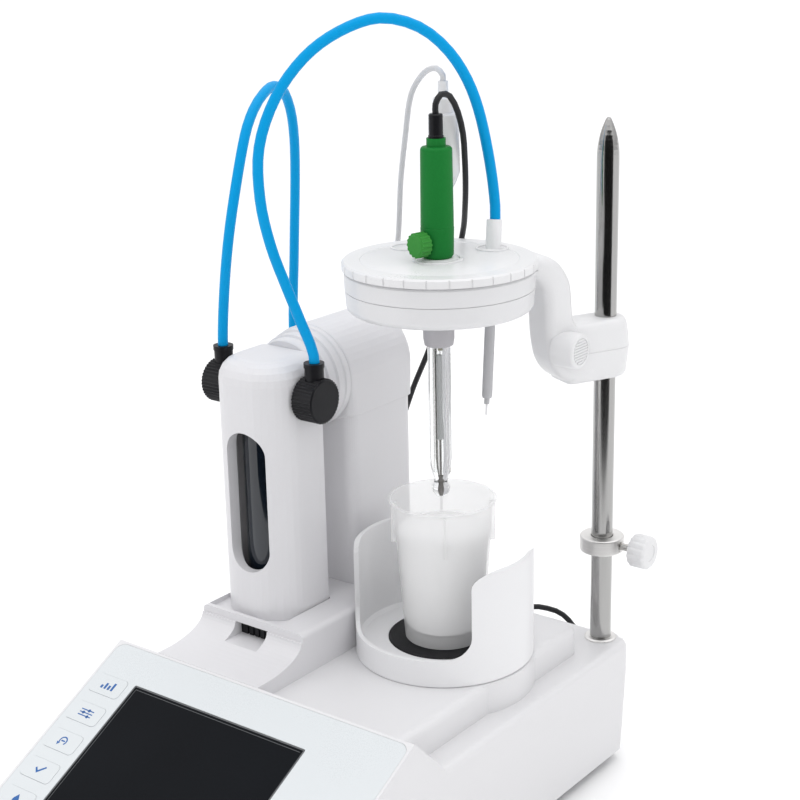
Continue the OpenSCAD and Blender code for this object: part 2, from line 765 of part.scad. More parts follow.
module pump_motor() {
    color("dimgray")
    difference() {
        union() {
            plate(col_x - motor_w / 2, col_x + motor_w / 2, screw_y - motor_w / 2, screw_y + motor_w / 2,
                  dock_z, dock_z + motor_h, 4);
            bar_z(col_x, screw_y, 11, dock_z, dock_z + motor_h + 2);
        }
        bar_z(col_x, screw_y, 3 + fit, dock_z - 1, dock_z + 20);
    }
}

module leadscrew() {
    color("silver") {
        bar_z(col_x, screw_y, screw_d / 2 - 1, foot_h + 6.2, foot_h + 16);
        bar_z(col_x, screw_y, 3, dock_z - 4, dock_z + 18);
        translate([col_x, screw_y, foot_h + 14.2])
            rotate_extrude()
                polygon(concat([[0, 0]],
                    [for (i = [0 : 11]) let (z = i * 7.8) each [[screw_d / 2, z], [screw_d / 2, z + 3],
                        [screw_d / 2 - 0.5, z + 4], [screw_d / 2 - 0.5, z + 6.8]]],
                    [[screw_d / 2 - 0.5, dock_z - foot_h - 18], [0, dock_z - foot_h - 18]]));
    }
}

module guide_rod() {
    color("silver")
        bar_z(col_x, guide_y, guide_d / 2, foot_h + 5, tray_z - wall + 2);
}

module piston_carriage() {
    color("gray")
    difference() {
        union() {
            block([col_x - 8, bur_cy - 6, carriage_z], [col_x + 8, screw_y, carriage_z + carriage_t]);
            bar_z(col_x, screw_y, 11, carriage_z, carriage_z + carriage_t);
            bar_z(col_x, guide_y, 8, carriage_z - 6, carriage_z + carriage_t);
        }
        bar_z(col_x, screw_y, screw_d / 2 + fit, carriage_z - 8, carriage_z + carriage_t + 1);
        bar_z(col_x, guide_y, guide_d / 2 + fit, carriage_z - 8, carriage_z + carriage_t + 1);
        bar_z(col_x, bur_cy, 2.5, carriage_z + 3, carriage_z + carriage_t + 1);
    }
}

module piston() {
    color("white") {
        bar_z(col_x, bur_cy, 2.45, carriage_z + 3, rod_foot_z + 1);
        bar_z(col_x, bur_cy, 4, rod_foot_z, piston_z + 1);
        translate([col_x, bur_cy, piston_z])
            rotate_extrude()
                polygon([[0, 0], [bore_d / 2 - fit, 0], [bore_d / 2 - fit, 2], [bore_d / 2 - 1, 2.5],
                         [bore_d / 2 - 1, 4.5], [bore_d / 2 - fit, 5], [bore_d / 2 - fit, piston_t], [0, piston_t]]);
    }
}

module burette_shell() {
    side = burette_w / 2;
    color("whitesmoke")
    intersection() {
    block([col_x - side, bur_y0, tray_z], [col_x + side, bur_y1, bur_z1]);
    difference() {
        hull() {
            for (s = [-1, 1]) {
                translate([col_x + s * (side - burette_r), bur_y0 + burette_r, tray_z])
                    puck(burette_r, burette_top_r, burette_h);
                bar_y(col_x + s * (side - burette_top_r), bur_z1 - burette_top_r, burette_top_r,
                      bur_y1 - 12, bur_y1);
            }
            block([col_x - side, bur_y1 - 12, tray_z], [col_x + side, bur_y1, tray_z + 5]);
        }
        // Hollow with round bottom opening
        bar_z(col_x, bur_cy, glass_r + 3.5, tray_z + 6, glass_z1 + 3);
        bar_z(col_x, bur_cy, glass_r + 3.5, tray_z - 1, tray_z + 6.5);
        block([col_x - side + 5, bur_cy - 9, glass_z1 - slip], [col_x + side - 5, bur_y1 - 4, valve_z + 13]);
        // Viewing slot with round ends
        for (z = [slot_z - (slot_h - slot_w) / 2, slot_z + (slot_h - slot_w) / 2])
            bar_y(slot_x, z, slot_w / 2, bur_y0 - 1, bur_cy);
        block([slot_x - slot_w / 2, bur_y0 - 1, slot_z - (slot_h - slot_w) / 2],
              [slot_x + slot_w / 2, bur_cy, slot_z + (slot_h - slot_w) / 2]);
        bar_x(valve_y, valve_z, port_r + slip, col_x - side - 1, col_x + side + 1);
        bar_y(col_x, valve_z, 6.4, bur_cy, bur_y1 + 1);
    }
    }
}
port_r = 5.6;
port_x = burette_w / 2 + elbow_gap + 4;

module burette_glass() {
    color("#20303c")
    difference() {
        union() {
            bar_z(col_x, bur_cy, glass_r, glass_z0, glass_z1);
            bar_z(col_x, bur_cy, glass_r + 3.2, tray_z + 1, glass_z0 + 3);
        }
        bar_z(col_x, bur_cy, bore_d / 2, tray_z, glass_z1 + 1);
    }
}

module valve_block() {
    color("ivory")
    difference() {
        union() {
            block([col_x - 17, bur_cy - 8, glass_z1], [col_x + 17, bur_y1 - 4.5, valve_z + 11]);
            bar_x(valve_y, valve_z, port_r, col_x - port_x, col_x + port_x);
            bar_z(col_x, bur_cy, bore_d / 2 - 0.4, glass_z1 - 3, glass_z1 + 1);
        }
        bar_y(col_x, valve_z, 6 + fit, valve_y - 6.5, bur_y1);
        bar_x(valve_y, valve_z, 1.2, col_x - port_x - 1, col_x + port_x + 1);
        bar_z(col_x, valve_y, 1.2, glass_z1 - 4, valve_z);
    }
}

// Knurled elbow whose flat face looks along +X at the origin
module elbow() {
    n = 40;
    difference() {
        union() {
            rotate([0, 90, 0]) linear_extrude(elbow_t)
                polygon([for (i = [0 : 2 * n - 1])
                    let (r = elbow_d / 2 - (i % 2) * 0.5, a = i * 180 / n) [r * cos(a), r * sin(a)]]);
            translate([-elbow_gap, 0, 0]) rotate([0, 90, 0]) cylinder(r = elbow_d / 2 - 2, h = elbow_gap + 1);
            translate([elbow_t - 0.01, 0, 0]) rotate([0, 90, 0])
                cylinder(r1 = elbow_d / 2 - 0.6, r2 = elbow_d / 2 - 1.2, h = 0.6);
            translate([elbow_t / 2, 0, 0]) cylinder(r = 5.1, h = elbow_d / 2 + 7.5);
            translate([elbow_t / 2, 0, elbow_d / 2 + 5.5]) cylinder(r = 5.5, h = 2.5);
        }
        translate([-elbow_gap - 1, 0, 0]) rotate([0, 90, 0]) cylinder(r = port_r + 0.02, h = 5.2 + elbow_gap);
        translate([elbow_t / 2, 0, 7]) cylinder(r = hose_d / 2 + 0.02, h = 40);
    }
}
module hose_elbow_right() {
    color("#161616")
    translate([col_x + burette_w / 2 + elbow_gap, valve_y, valve_z]) elbow();
}
module hose_elbow_left() {
    color("#161616")
    translate([col_x - burette_w / 2 - elbow_gap, valve_y, valve_z]) mirror([1, 0, 0]) elbow();
}

// ---------------------------------------------------------------- stirrer
module stirrer_guard() {
    top_r = 8;
    low_r = 12;
    hw = guard_gap / 2;
    lip_z = deck_z + guard_lip;
    top_z = deck_z + guard_h;
    color("white")
    difference() {
        translate([stir_x, stir_y, deck_z])
            rotate_extrude($fn = 96)
                polygon(concat(
                    [[0, 0], [guard_r - 0.8, 0], [guard_r, 0.8], [guard_r, guard_h - 1]],
                    arc(guard_r - guard_t / 2, guard_h - guard_t / 2, guard_t / 2, 0, 180, 6),
                    [[guard_r - guard_t, guard_floor + 2]],
                    [[guard_r - guard_t - 2, guard_floor], [pad_r + 0.2, guard_floor],
                     [pad_r + 0.2, guard_floor - 1.2], [0, guard_floor - 1.2]]));
        translate([stir_x, stir_y + guard_r + 5, 0]) rotate([90, 0, 0])
            linear_extrude(2 * guard_r + 10)
                polygon(concat(
                    [[-hw - top_r, top_z + 5], [-hw - top_r, top_z]],
                    arc(-hw - top_r, top_z - top_r, top_r, 90, 0, 6),
                    arc(-hw + low_r, lip_z + low_r, low_r, 180, 270, 8),
                    arc(hw - low_r, lip_z + low_r, low_r, 270, 360, 8),
                    arc(hw + top_r, top_z - top_r, top_r, 180, 90, 6),
                    [[hw + top_r, top_z + 5]]));
    }
}

module stirrer_pad() {
    color("#202020")
    translate([stir_x, stir_y, floor_z - 1.2])
        rotate_extrude($fn = 96)
            polygon([[0, 0], [pad_r, 0], [pad_r, 1.2 + pad_t - 0.4], [pad_r - 0.5, 1.2 + pad_t],
                     [0, 1.2 + pad_t]]);
}

module stirrer_motor() {
    color("gray")
    difference() {
        union() {
            bar_z(stir_x, stir_y, 40, stir_flange_z - 2, stir_flange_z);
            bar_z(stir_x, stir_y, 17, stir_flange_z - 28, stir_flange_z - 1);
        }
        bar_z(stir_x, stir_y, 2.5 + fit, stir_flange_z - 20, stir_flange_z + 1);
        for (a = [90, 210, 330])
            bar_z(stir_x + 28 * cos(a), stir_y + 28 * sin(a), 5, stir_flange_z - 5, stir_flange_z + 1);
    }
}

module stirrer_rotor() {
    color("silver") {
        bar_z(stir_x, stir_y, 2.5, stir_flange_z - 19, stir_flange_z + 4);
        bar_z(stir_x, stir_y, 26, stir_flange_z + 3, stir_flange_z + 5);
        for (s = [-1, 1])
            bar_z(stir_x + s * 17, stir_y, 7, stir_flange_z + 4.5, stir_flange_z + 10);
    }
}

module beaker() {
    step = beaker_h - 24;
    color([0.93, 0.95, 0.96, 0.6])
    translate([stir_x, stir_y, beaker_z])
        rotate_extrude($fn = 96)
            polygon([
                [0, 2.2], [0, 3.4], [beaker_foot_r - 2, 3.4],
                [wall_r(step) - beaker_t, step - 1], [wall_r(step) - beaker_t + 0.6, step],
                [wall_r(beaker_h) - beaker_t, beaker_h],
                [wall_r(beaker_h) + 0.6, beaker_h], [beaker_r, beaker_h - 0.6],
                [beaker_r, beaker_h - 1.6], [wall_r(beaker_h), beaker_h - 2],
                [wall_r(step) + 0.6, step], [wall_r(step), step - 1],
                [beaker_foot_r, 2], [beaker_foot_r - 0.4, 0], [beaker_foot_r - 1.8, 0],
                [beaker_foot_r - 2, 2.2]
            ]);
}
function wall_r(z) = beaker_foot_r + (beaker_r - 1.8 - beaker_foot_r) * z / beaker_h;

// ---------------------------------------------------------------- rod
module support_rod() {
    nose = 22;
    color("silver")
    translate([rod_x, rod_y, rod_z0])
        rotate_extrude()
            polygon(concat(
                [[0, 0], [rod_d / 2, 0], [rod_d / 2, rod_top - rod_z0 - nose]],
                [for (i = [1 : 8]) let (t = i / 8)
                    [1.6 + (rod_d / 2 - 1.6) * (1 - pow(t, 2.2)), rod_top - rod_z0 - nose + (nose - 1.4) * t]],
                [[0.9, rod_top - rod_z0 - 0.3], [0, rod_top - rod_z0]]));
}

module rod_socket() {
    color("silver")
    translate([rod_x, rod_y, rod_z0])
        rotate_extrude()
            polygon([[rod_d / 2 + 0.01, 0], [socket_r, 0], [socket_r, ledge_z - rod_z0],
                     [socket_r + 0.8, ledge_z - rod_z0], [socket_r + 0.8, ledge_z - rod_z0 + 0.6],
                     [socket_r - 0.2, ledge_z - rod_z0 + 1.2], [rod_d / 2 + 0.01, ledge_z - rod_z0 + 1.2]]);
}

module stop_collar() {
    color("silver")
    difference() {
        translate([rod_x, rod_y, collar_z])
            rotate_extrude()
                polygon([[rod_d / 2 + fit, 0.5], [rod_d / 2 + 0.5, 0], [collar_d / 2 - 0.6, 0],
                         [collar_d / 2, 0.6], [collar_d / 2, collar_h - 0.6],
                         [collar_d / 2 - 0.6, collar_h], [rod_d / 2 + 0.5, collar_h],
                         [rod_d / 2 + fit, collar_h - 0.5]]);
        bar_x(rod_y, collar_z + collar_h / 2, 2 + fit, rod_x, rod_x + collar_d);
    }
}

module collar_screw() {
    z = collar_z + collar_h / 2;
    knob_x = rod_x + collar_d / 2 + 8.5;
    n = 15;
    color("silver")
        bar_x(rod_y, z, 2, rod_x + rod_d / 2 + 0.05, knob_x + 3);
    color("white")
    translate([knob_x, rod_y, z]) rotate([0, 90, 0]) {
        linear_extrude(10)
            polygon([for (i = [0 : 6 * n - 1])
                let (a = i * 60 / n, r = thumb_d / 2 - 0.45 + 0.45 * cos(a * n)) [r * cos(a), r * sin(a)]]);
        translate([0, 0, -2.5]) cylinder(r1 = 4.5, r2 = 6.5, h = 2.6);
        translate([0, 0, 9.9]) cylinder(r1 = thumb_d / 2 - 1.2, r2 = thumb_d / 2 - 2.4, h = 1);
    }
}

// ---------------------------------------------------------------- holder
module rod_bushing() {
    color("dimgray")
    translate([rod_x, rod_y, clamp_z0 + 1])
        rotate_extrude()
            polygon([[rod_d / 2 + fit, 0], [bush_r, 0], [bush_r, clamp_h - 2], [rod_d / 2 + fit, clamp_h - 2]]);
}

// Frame of the arm: X from the holder's centre towards the rod, Y to its left
module on_arm() {
    translate([disc_x, disc_y, 0]) rotate([0, 0, arm_dir]) children();
}

button_x = rod_x + 6;       // the button's face
button_y = rod_y - 35;
button_z = clamp_z0 + 22.5;
button_len = 10;
stem_r = 4;
stem_len = 13;

module holder_arm() {
    color("white")
    difference() {
        union() {
            // Shoulder and drop
            on_arm() {
                intersection() {
                    rotate([90, 0, 0]) linear_extrude(arm_w, center = true)
                        polygon(concat(
                            [[body_r - 4, body_top - 3]],
                            arc(body_r + 8, body_top - 20, 17, 90, 0, 10),
                            arc(body_r + 33, clamp_z - 4 + 8, 8, 180, 270, 5),
                            [[arm_len, clamp_z - 4 + 0.01]],
                            [[arm_len, clamp_z0]],
                            arc(body_r + 24, clamp_z0 + 16, 16, 270, 180, 8),
                            [[body_r + 8, body_z0 - 4]],
                            [[body_r - 4, body_z0 + 4]]));
                    translate([0, -arm_w / 2, 0]) cube([arm_len, arm_w, 400]);
                }
                // Clamp block
                hull() {
                    translate([arm_len - 24, 0, clamp_z0])
                        for (s = [-1, 1]) translate([0, s * (clamp_r - 7), 0]) puck2(7, 3, clamp_h);
                    translate([arm_len, 0, clamp_z0]) puck2(clamp_r, 3, clamp_h);
                }
            }
        }
        bar_z(rod_x, rod_y, bush_r + fit, clamp_z0 + 1, clamp_z - 1);
        bar_z(rod_x, rod_y, rod_d / 2 + 0.4, clamp_z0 - 1, clamp_z + 1);
        button_hole();
        // Seat against the round body
        bar_z(disc_x, disc_y, body_r, body_z0 - 10, holder_z + 5);
    }
}
// Round post with both edges rounded, widest at its parting line
module puck2(r, e, h) {
    rotate_extrude($fn = 32)
        polygon(concat([[0, 0]], arc(r - 0.8 - e, e, e, -90, 0, 3), [[r, h / 2]],
                       arc(r - 0.8 - e, h - e, e, 0, 90, 3), [[0, h]]));
}

module button_hole() {
    back = button_x - button_len - button_travel - 0.5;
    bar_x(button_y, button_z, button_d / 2 + 0.25, back, button_x + 40);
    bar_x(button_y, button_z, stem_r + fit, back - stem_len - 1, back + 1);
}

module release_button() {
    color("white")
    translate([button_x - button_len, button_y, button_z]) rotate([0, 90, 0])
        difference() {
            union() {
                rotate_extrude()
                    polygon(concat([[0, 0], [button_d / 2, 0]],
                                   arc(button_d / 2 - 1.5, button_len - 1.5, 1.5, 0, 90, 5),
                                   [[0, button_len]]));
                translate([0, 0, -stem_len]) cylinder(r = stem_r, h = stem_len + 1);
            }
            // Slanted grip grooves
            for (y = [-6 : 1.5 : 6])
                rotate([0, 0, 20])
                translate([y - 0.3, -sqrt(49 - y * y), button_len - 0.5])
                    cube([0.6, 2 * sqrt(49 - y * y), 2]);
        }
}

module holder_body() {
    color("white")
    difference() {
        translate([disc_x, disc_y, body_z0])
            rotate_extrude($fn = 96)
                polygon(concat(
                    [[0, 0]], arc(body_r - 5, 4, 4, -90, 0, 5),
                    [[body_r - 0.4, body_h * 0.5], [body_r - 0.9, body_h * 0.5],
                     [body_r - 0.9, body_h * 0.5 + 0.4], [body_r - 0.3, body_h * 0.5 + 0.4],
                     [body_r - 0.2, body_h - 1], [body_r - 1.2, body_h], [insert_r + 4, body_h],
                     [insert_r + 4, body_h + ring_t - 0.6], [insert_r + 0.2, body_h + ring_t - 0.6],
                     [insert_r + 0.2, body_h - 3], [insert_r - 2, body_h - 3],
                     [insert_r - 2, 3], [0, 3]]));
        holder_holes(1.2);
    }
}

// Holes that electrode, probe, dose tip and cable pass through
module holder_holes(extra) {
    bar_z(el_x, el_y, shaft_d / 2 + extra + 0.6, body_z0 - 5, holder_z + 5);
    bar_z(probe_x, probe_y, probe_d / 2 + extra, body_z0 - 5, holder_z + 5);
    on_sleeve() cylinder(r = tip_r + 0.1, h = 60, center = true);
}
// Leaning frame of the dosing tip: origin on its axis at the holder's face, Z up along it
module on_sleeve() {
    translate([sleeve_x, sleeve_y, holder_z]) rotate([-sleeve_lean, 0, sleeve_turn]) children();
}
tip_r = 3;
cable_d = 3.2;

module lock_ring() {
    color("white")
    difference() {
        translate([disc_x, disc_y, ring_z])
            rotate_extrude($fn = 112)
                polygon([[insert_r + 4.3, 0], [ring_r - 0.4, 0], [ring_r, 0.4], [ring_r, ring_t - 1],
                         [ring_r - 1, ring_t], [insert_r + 5, ring_t], [insert_r + 4.3, ring_t - 0.5]]);
        for (i = [0 : notch_n - 1])
            translate([disc_x, disc_y, ring_z - 1]) rotate([0, 0, i * 360 / notch_n + 3])
                translate([ring_r - 0.5, -0.4, 0]) cube([2, 0.8, ring_t + 2]);
    }
}

module insert_plate() {
    z = insert_z;
    color("white")
    difference() {
        union() {
            bar_z(disc_x, disc_y, insert_r, body_top - 2.95, z);
            bar_z(el_x, el_y, 12, body_top - 2, el_seat);
            intersection() {
                bar_z(disc_x, disc_y, insert_r, z - 1, z + 5);
                union() {
                    bar_z(sleeve_x, sleeve_y - 2, 8.5, z - 1, z + 1.2);
                    for (a = [150, 195, 240])
                        on_arm() rotate([0, 0, a]) block([12, -0.7, z - 1], [insert_r + 5, 0.7, z + 1]);
                }
            }
        }
        // D-shaped cable pocket
        intersection() {
            bar_z(disc_x, disc_y, insert_r - 5, body_top - 1, z + 5);
            translate([disc_x - 40, disc_y + 6, body_top - 1]) cube([34, 30, 20]);
        }
        holder_holes(0.4);
    }
}

// ---------------------------------------------------------------- electrodes
module electrode_cap() {
    color("forestgreen")
    difference() {
        translate([el_x, el_y, el_seat])
            rotate_extrude()
                polygon(concat(
                    [[0, 0], [cap_d / 2 - 1.2, 0], [cap_d / 2 - 0.2, 1.6], [cap_d / 2 + 0.1, cap_seam],
                     [cap_d / 2 - 0.2, cap_seam + 0.3], [cap_d / 2, cap_seam + 0.7]],
                    arc(cap_d / 2 - 2.4, cap_l - 2, 2, 0, 60, 4),
                    [[neck_r, cap_l], [neck_r, cap_l + neck_h], [0, cap_l + neck_h]]));
        bar_z(el_x, el_y, shaft_d / 2 - 0.9, el_seat - 1, el_seat + 9);
        translate([el_x, el_y, fill_z]) rotate([90, 0, -fill_turn])
            cylinder(r = 2 + fit, h = 12);
    }
}
cap_seam = 15.5;       // joint of the screwed head
neck_r = 4.9;
neck_h = 4;
fill_z = el_seat + 8;
fill_turn = 12;

module fill_screw() {
    n = 16;
    color("limegreen")
    translate([el_x, el_y, fill_z]) rotate([90, 0, -fill_turn]) {
        translate([0, 0, 6.2]) cylinder(r = 2, h = 4);
        translate([0, 0, cap_d / 2 + 0.5])
            linear_extrude(6)
                polygon([for (i = [0 : 4 * n - 1])
                    let (a = i * 90 / n, r = 6.5 - (i % 4 < 2 ? 0 : 0.5)) [r * cos(a), r * sin(a)]]);
        translate([0, 0, cap_d / 2 + 6.4]) cylinder(r1 = 5.6, r2 = 5, h = 0.6);
    }
}

relief_l = 12;
module electrode_relief() {
    color("#181818")
    translate([el_x, el_y, el_seat + cap_l + neck_h])
        rotate_extrude()
            polygon([[0, 0], [3.9, 0], [3.9, 1.2], [3.55, 1.5], [3.55, relief_l - 0.6],
                     [3, relief_l], [0, relief_l]]);
}

module electrode_glass() {
    bulb = 5.2;
    color([0.9, 0.92, 0.95, 0.5])
    translate([el_x, el_y, el_seat + 8.9])
        rotate([180, 0, 0])
            rotate_extrude()
                polygon(concat(
                    [[0, 0], [shaft_d / 2 - 1, 0], [shaft_d / 2 - 1, 9.6], [shaft_d / 2, 10.5],
                     [shaft_d / 2, shaft_l - 14], [shaft_d / 2 - 0.6, shaft_l - 10],
                     [shaft_d / 2 - 2.2, shaft_l - 4]],
                    arc(0, shaft_l + 3.8, bulb, -48, 90, 9)));
}

module probe_handle() {
    color("white")
    translate([probe_x, probe_y, insert_z])
        rotate_extrude()
            polygon([[0, 0], [4.5, 0], [4.5, 1.4], [4, 2], [2.4, 2.2], [2.2, 32.6], [3.2, 33.6], [5.6, 37],
                     [8.2, 43.5], [8.2, 46.5], [7.9, 72.6], [7.3, 73.6], [5.6, 74], [5.4, 81.2],
                     [4.8, 81.6], [2.8, 81.8], [2.6, 89.8], [0, 89.8]]);
}

module probe_tube() {
    color("silver")
    translate([probe_x, probe_y, insert_z])
        mirror([0, 0, 1])
            rotate_extrude()
                polygon(concat([[0, 0], [probe_d / 2, 0], [probe_d / 2, probe_l + 20]],
                               [[probe_d / 4, probe_l + 21], [0, probe_l + 21.4]]));
}

// Dosing tube with its sleeve above the holder and its fine nozzle below
module dose_tip() {
    low = -body_h - 60;
    color("lightgray")
    on_sleeve()
        difference() {
            rotate_extrude()
                polygon([[0, low - 9], [0.7, low - 9], [0.9, low - 2], [2.5, low], [tip_r, low + 2],
                         [tip_r, 1], [4.3, 1], [4.3, 3], [4.1, 4], [4.1, 15], [0, 15]]);
            translate([0, 0, 2]) cylinder(r = hose_d / 2 + 0.02, h = 20);
        }
}

// ---------------------------------------------------------------- hoses and cables
function unit(v) = v / norm(v);
function tangent(p, i) = unit(p[min(i + 1, len(p) - 1)] - p[max(i - 1, 0)]);
// Side vectors carried from ring to ring, so that the tube doesn't twist
function frames(p, i, side) =
    let (t = tangent(p, i), s = unit(side - t * (side * t)))
    i == len(p) - 1 ? [s] : concat([s], frames(p, i + 1, s));

module hose(p, d, sides) {
    n = len(p);
    s = frames(p, 0, [1, 0, 0]);
    points = [for (i = [0 : n - 1]) let (t = tangent(p, i), b = cross(t, s[i]))
        for (j = [0 : sides - 1]) let (a = j * 360 / sides)
            p[i] + (d / 2) * (s[i] * cos(a) + b * sin(a))];
    faces = concat(
        [[for (j = [0 : sides - 1]) j]],
        [for (i = [0 : n - 2], j = [0 : sides - 1]) let (k = (j + 1) % sides)
            [i * sides + j, (i + 1) * sides + j, (i + 1) * sides + k, i * sides + k]],
        [[for (j = [sides - 1 : -1 : 0]) (n - 1) * sides + j]]);
    polyhedron(points, faces);
}

module aspiration_hose() { color("deepskyblue") hose(aspiration_route, hose_d, 10); }
module dosing_hose() { color("deepskyblue") hose(dosing_route, hose_d, 10); }
module electrode_cable() { color("#202020") hose(electrode_route, cable_d, 8); }
module probe_cable() { color("gainsboro") hose(probe_route, cable_d - 0.2, 8); }

// ---------------------------------------------------------------- drawing
base_tray();
base_cover();
bottom_plate();
rubber_feet();
display_housing();
display_film();
display_window();
display_board();
key_1();
key_2();
key_3();
key_4();
key_5();
main_board();
rear_panel();
power_switch();
rear_sockets();
pump_dock();
burette_latch();
tower_shell();
valve_neck();
valve_motor();
valve_rotor();
pump_motor();
leadscrew();
guide_rod();
piston_carriage();
piston();
burette_shell();
burette_glass();
valve_block();
hose_elbow_left();
hose_elbow_right();
stirrer_guard();
stirrer_pad();
stirrer_motor();
stirrer_rotor();
beaker();
support_rod();
rod_socket();
stop_collar();
collar_screw();
rod_bushing();
holder_arm();
release_button();
holder_body();
lock_ring();
insert_plate();
electrode_cap();
electrode_relief();
electrode_glass();
fill_screw();
probe_handle();
probe_tube();
dose_tip();
aspiration_hose();
dosing_hose();
electrode_cable();
probe_cable();
cable_plugs();
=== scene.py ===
"""Looks of the automatic titrator: camera, light, hoses and cables, finishes and fine detail."""

import math

import bmesh
import bpy
from mathutils import Matrix, Vector


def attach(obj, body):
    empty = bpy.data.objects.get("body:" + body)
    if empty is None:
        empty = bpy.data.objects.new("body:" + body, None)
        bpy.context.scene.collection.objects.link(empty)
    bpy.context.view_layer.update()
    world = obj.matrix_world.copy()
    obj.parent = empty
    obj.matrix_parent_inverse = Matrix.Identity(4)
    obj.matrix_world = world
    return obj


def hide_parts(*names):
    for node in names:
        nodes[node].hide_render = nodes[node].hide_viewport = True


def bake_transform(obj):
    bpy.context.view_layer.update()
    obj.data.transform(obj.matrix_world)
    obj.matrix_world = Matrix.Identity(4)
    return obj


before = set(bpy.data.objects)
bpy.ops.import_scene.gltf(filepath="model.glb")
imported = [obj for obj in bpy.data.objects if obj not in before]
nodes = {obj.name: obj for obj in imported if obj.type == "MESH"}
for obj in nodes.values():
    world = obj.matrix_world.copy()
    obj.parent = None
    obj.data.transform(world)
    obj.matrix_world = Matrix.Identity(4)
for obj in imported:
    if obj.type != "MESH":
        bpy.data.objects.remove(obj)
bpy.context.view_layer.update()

MM = 0.001
CAMERA_AZIMUTH = math.radians(37.77)
CAMERA_PITCH = math.radians(17.25)
CAMERA_ROLL = math.radians(-1.26)
CAMERA_PLACE = (0.52821, -0.60671, 0.49152)
STIRRER = (0.0414, 0.057)  # axis of the stirrer, and of the holder above it
ELECTRODE = (0.0422, 0.0544)
STAND_ROD = (0.0854, 0.1492)


# ---------------------------------------------------------------- camera and light
def aim(obj, place, forward, roll=0.0):
    """Puts a camera or lamp at place, looking along forward."""
    forward = Vector(forward).normalized()
    right = forward.cross(Vector((0, 0, 1))).normalized()
    up = right.cross(forward)
    x = right * math.cos(roll) + up * math.sin(roll)
    y = up * math.cos(roll) - right * math.sin(roll)
    turn = Matrix((x, y, -forward)).transposed().to_4x4()
    obj.matrix_world = Matrix.Translation(Vector(place)) @ turn


def add_camera():
    """Camera at the viewing angle of the photograph."""
    lens = bpy.data.cameras.new("camera")
    lens.lens = 74.03
    lens.sensor_width = 36.0
    lens.clip_start = 0.01
    lens.clip_end = 100.0
    camera = bpy.data.objects.new("camera", lens)
    bpy.context.scene.collection.objects.link(camera)
    forward = (
        -math.sin(CAMERA_AZIMUTH) * math.cos(CAMERA_PITCH),
        math.cos(CAMERA_AZIMUTH) * math.cos(CAMERA_PITCH),
        -math.sin(CAMERA_PITCH),
    )
    aim(camera, CAMERA_PLACE, forward, CAMERA_ROLL)
    bpy.context.scene.camera = camera


def add_lamp(name, place, target, width, height, power, colour=(1, 1, 1)):
    """Soft rectangular lamp."""
    light = bpy.data.lights.new(name, "AREA")
    light.shape = "RECTANGLE"
    light.size, light.size_y = width, height
    light.energy = power
    light.color = colour
    lamp = bpy.data.objects.new(name, light)
    bpy.context.scene.collection.objects.link(lamp)
    aim(lamp, place, Vector(target) - Vector(place))


def add_dark_card():
    """Upright black card in front of the object. Only glossy surfaces see it, and it gives
    the rod and the black parts their dark reflections."""
    mesh = bpy.data.meshes.new("dark_card")
    half, foot, top = 0.52, 0.002, 0.62
    corners = [(-half, 0, foot), (half, 0, foot), (half, 0, top), (-half, 0, top)]
    mesh.from_pydata(corners, [], [(0, 1, 2, 3)])
    card = bpy.data.objects.new("dark_card", mesh)
    bpy.context.scene.collection.objects.link(card)
    card.location = (0.375, -0.215, 0)
    card.rotation_euler.z = CAMERA_AZIMUTH
    black = bpy.data.materials.new("card_black")
    black.use_nodes = True
    shader = black.node_tree.nodes["Principled BSDF"]
    shader.inputs["Base Color"].default_value = (0.01, 0.01, 0.01, 1)
    shader.inputs["Specular IOR Level"].default_value = 0.0
    mesh.materials.append(black)
    card.visible_camera = False
    card.visible_diffuse = False
    card.visible_transmission = False
    card.visible_shadow = False


def add_studio():
    """Large soft lamps, and a white sky that is brighter overhead than at the horizon."""
    middle = (0.0, 0.0, 0.18)
    add_lamp("key_lamp", (-1.25, -0.75, 1.15), middle, 1.2, 1.2, 0.8)
    add_lamp("top_lamp", (0.1, 0.2, 1.7), middle, 1.6, 1.6, 4.6)
    add_lamp("front_lamp", (0.45, -1.7, 0.8), middle, 1.4, 0.9, 0.6)
    add_lamp("side_lamp", (1.6, -0.2, 0.6), middle, 1.0, 1.4, 0.9)
    world = bpy.data.worlds.new("studio")
    world.use_nodes = True
    tree = world.node_tree
    sky = tree.nodes["Background"]
    sky.inputs["Color"].default_value = (0.99, 0.99, 1.0, 1)
    coords = tree.nodes.new("ShaderNodeTexCoord")
    split = tree.nodes.new("ShaderNodeSeparateXYZ")
    rise = tree.nodes.new("ShaderNodeMapRange")
    rise.inputs["To Min"].default_value = 0.60
    rise.inputs["To Max"].default_value = 1.40
    tree.links.new(coords.outputs["Generated"], split.inputs["Vector"])
    tree.links.new(split.outputs["Z"], rise.inputs["Value"])
    tree.links.new(rise.outputs["Result"], sky.inputs["Strength"])
    bpy.context.scene.world = world
    add_dark_card()
    bpy.context.scene.view_settings.view_transform = "Standard"


# ---------------------------------------------------------------- mesh helpers
def new_piece(name, mesh, finish, body=None, smooth_angle=40.0):
    """Links a mesh as a piece with its finish, and lets it ride on a body."""
    obj = bpy.data.objects.new(name, mesh)
    bpy.context.scene.collection.objects.link(obj)
    mesh.materials.append(finish)
    mesh.shade_smooth()
    mesh.set_sharp_from_angle(angle=math.radians(smooth_angle))
    if body:
        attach(obj, body)
    return obj


def axis_frame(origin, axis):
    """Matrix whose Z axis runs along axis from origin."""
    turn = Vector((0, 0, 1)).rotation_difference(Vector(axis).normalized())
    return Matrix.Translation(Vector(origin)) @ turn.to_matrix().to_4x4()


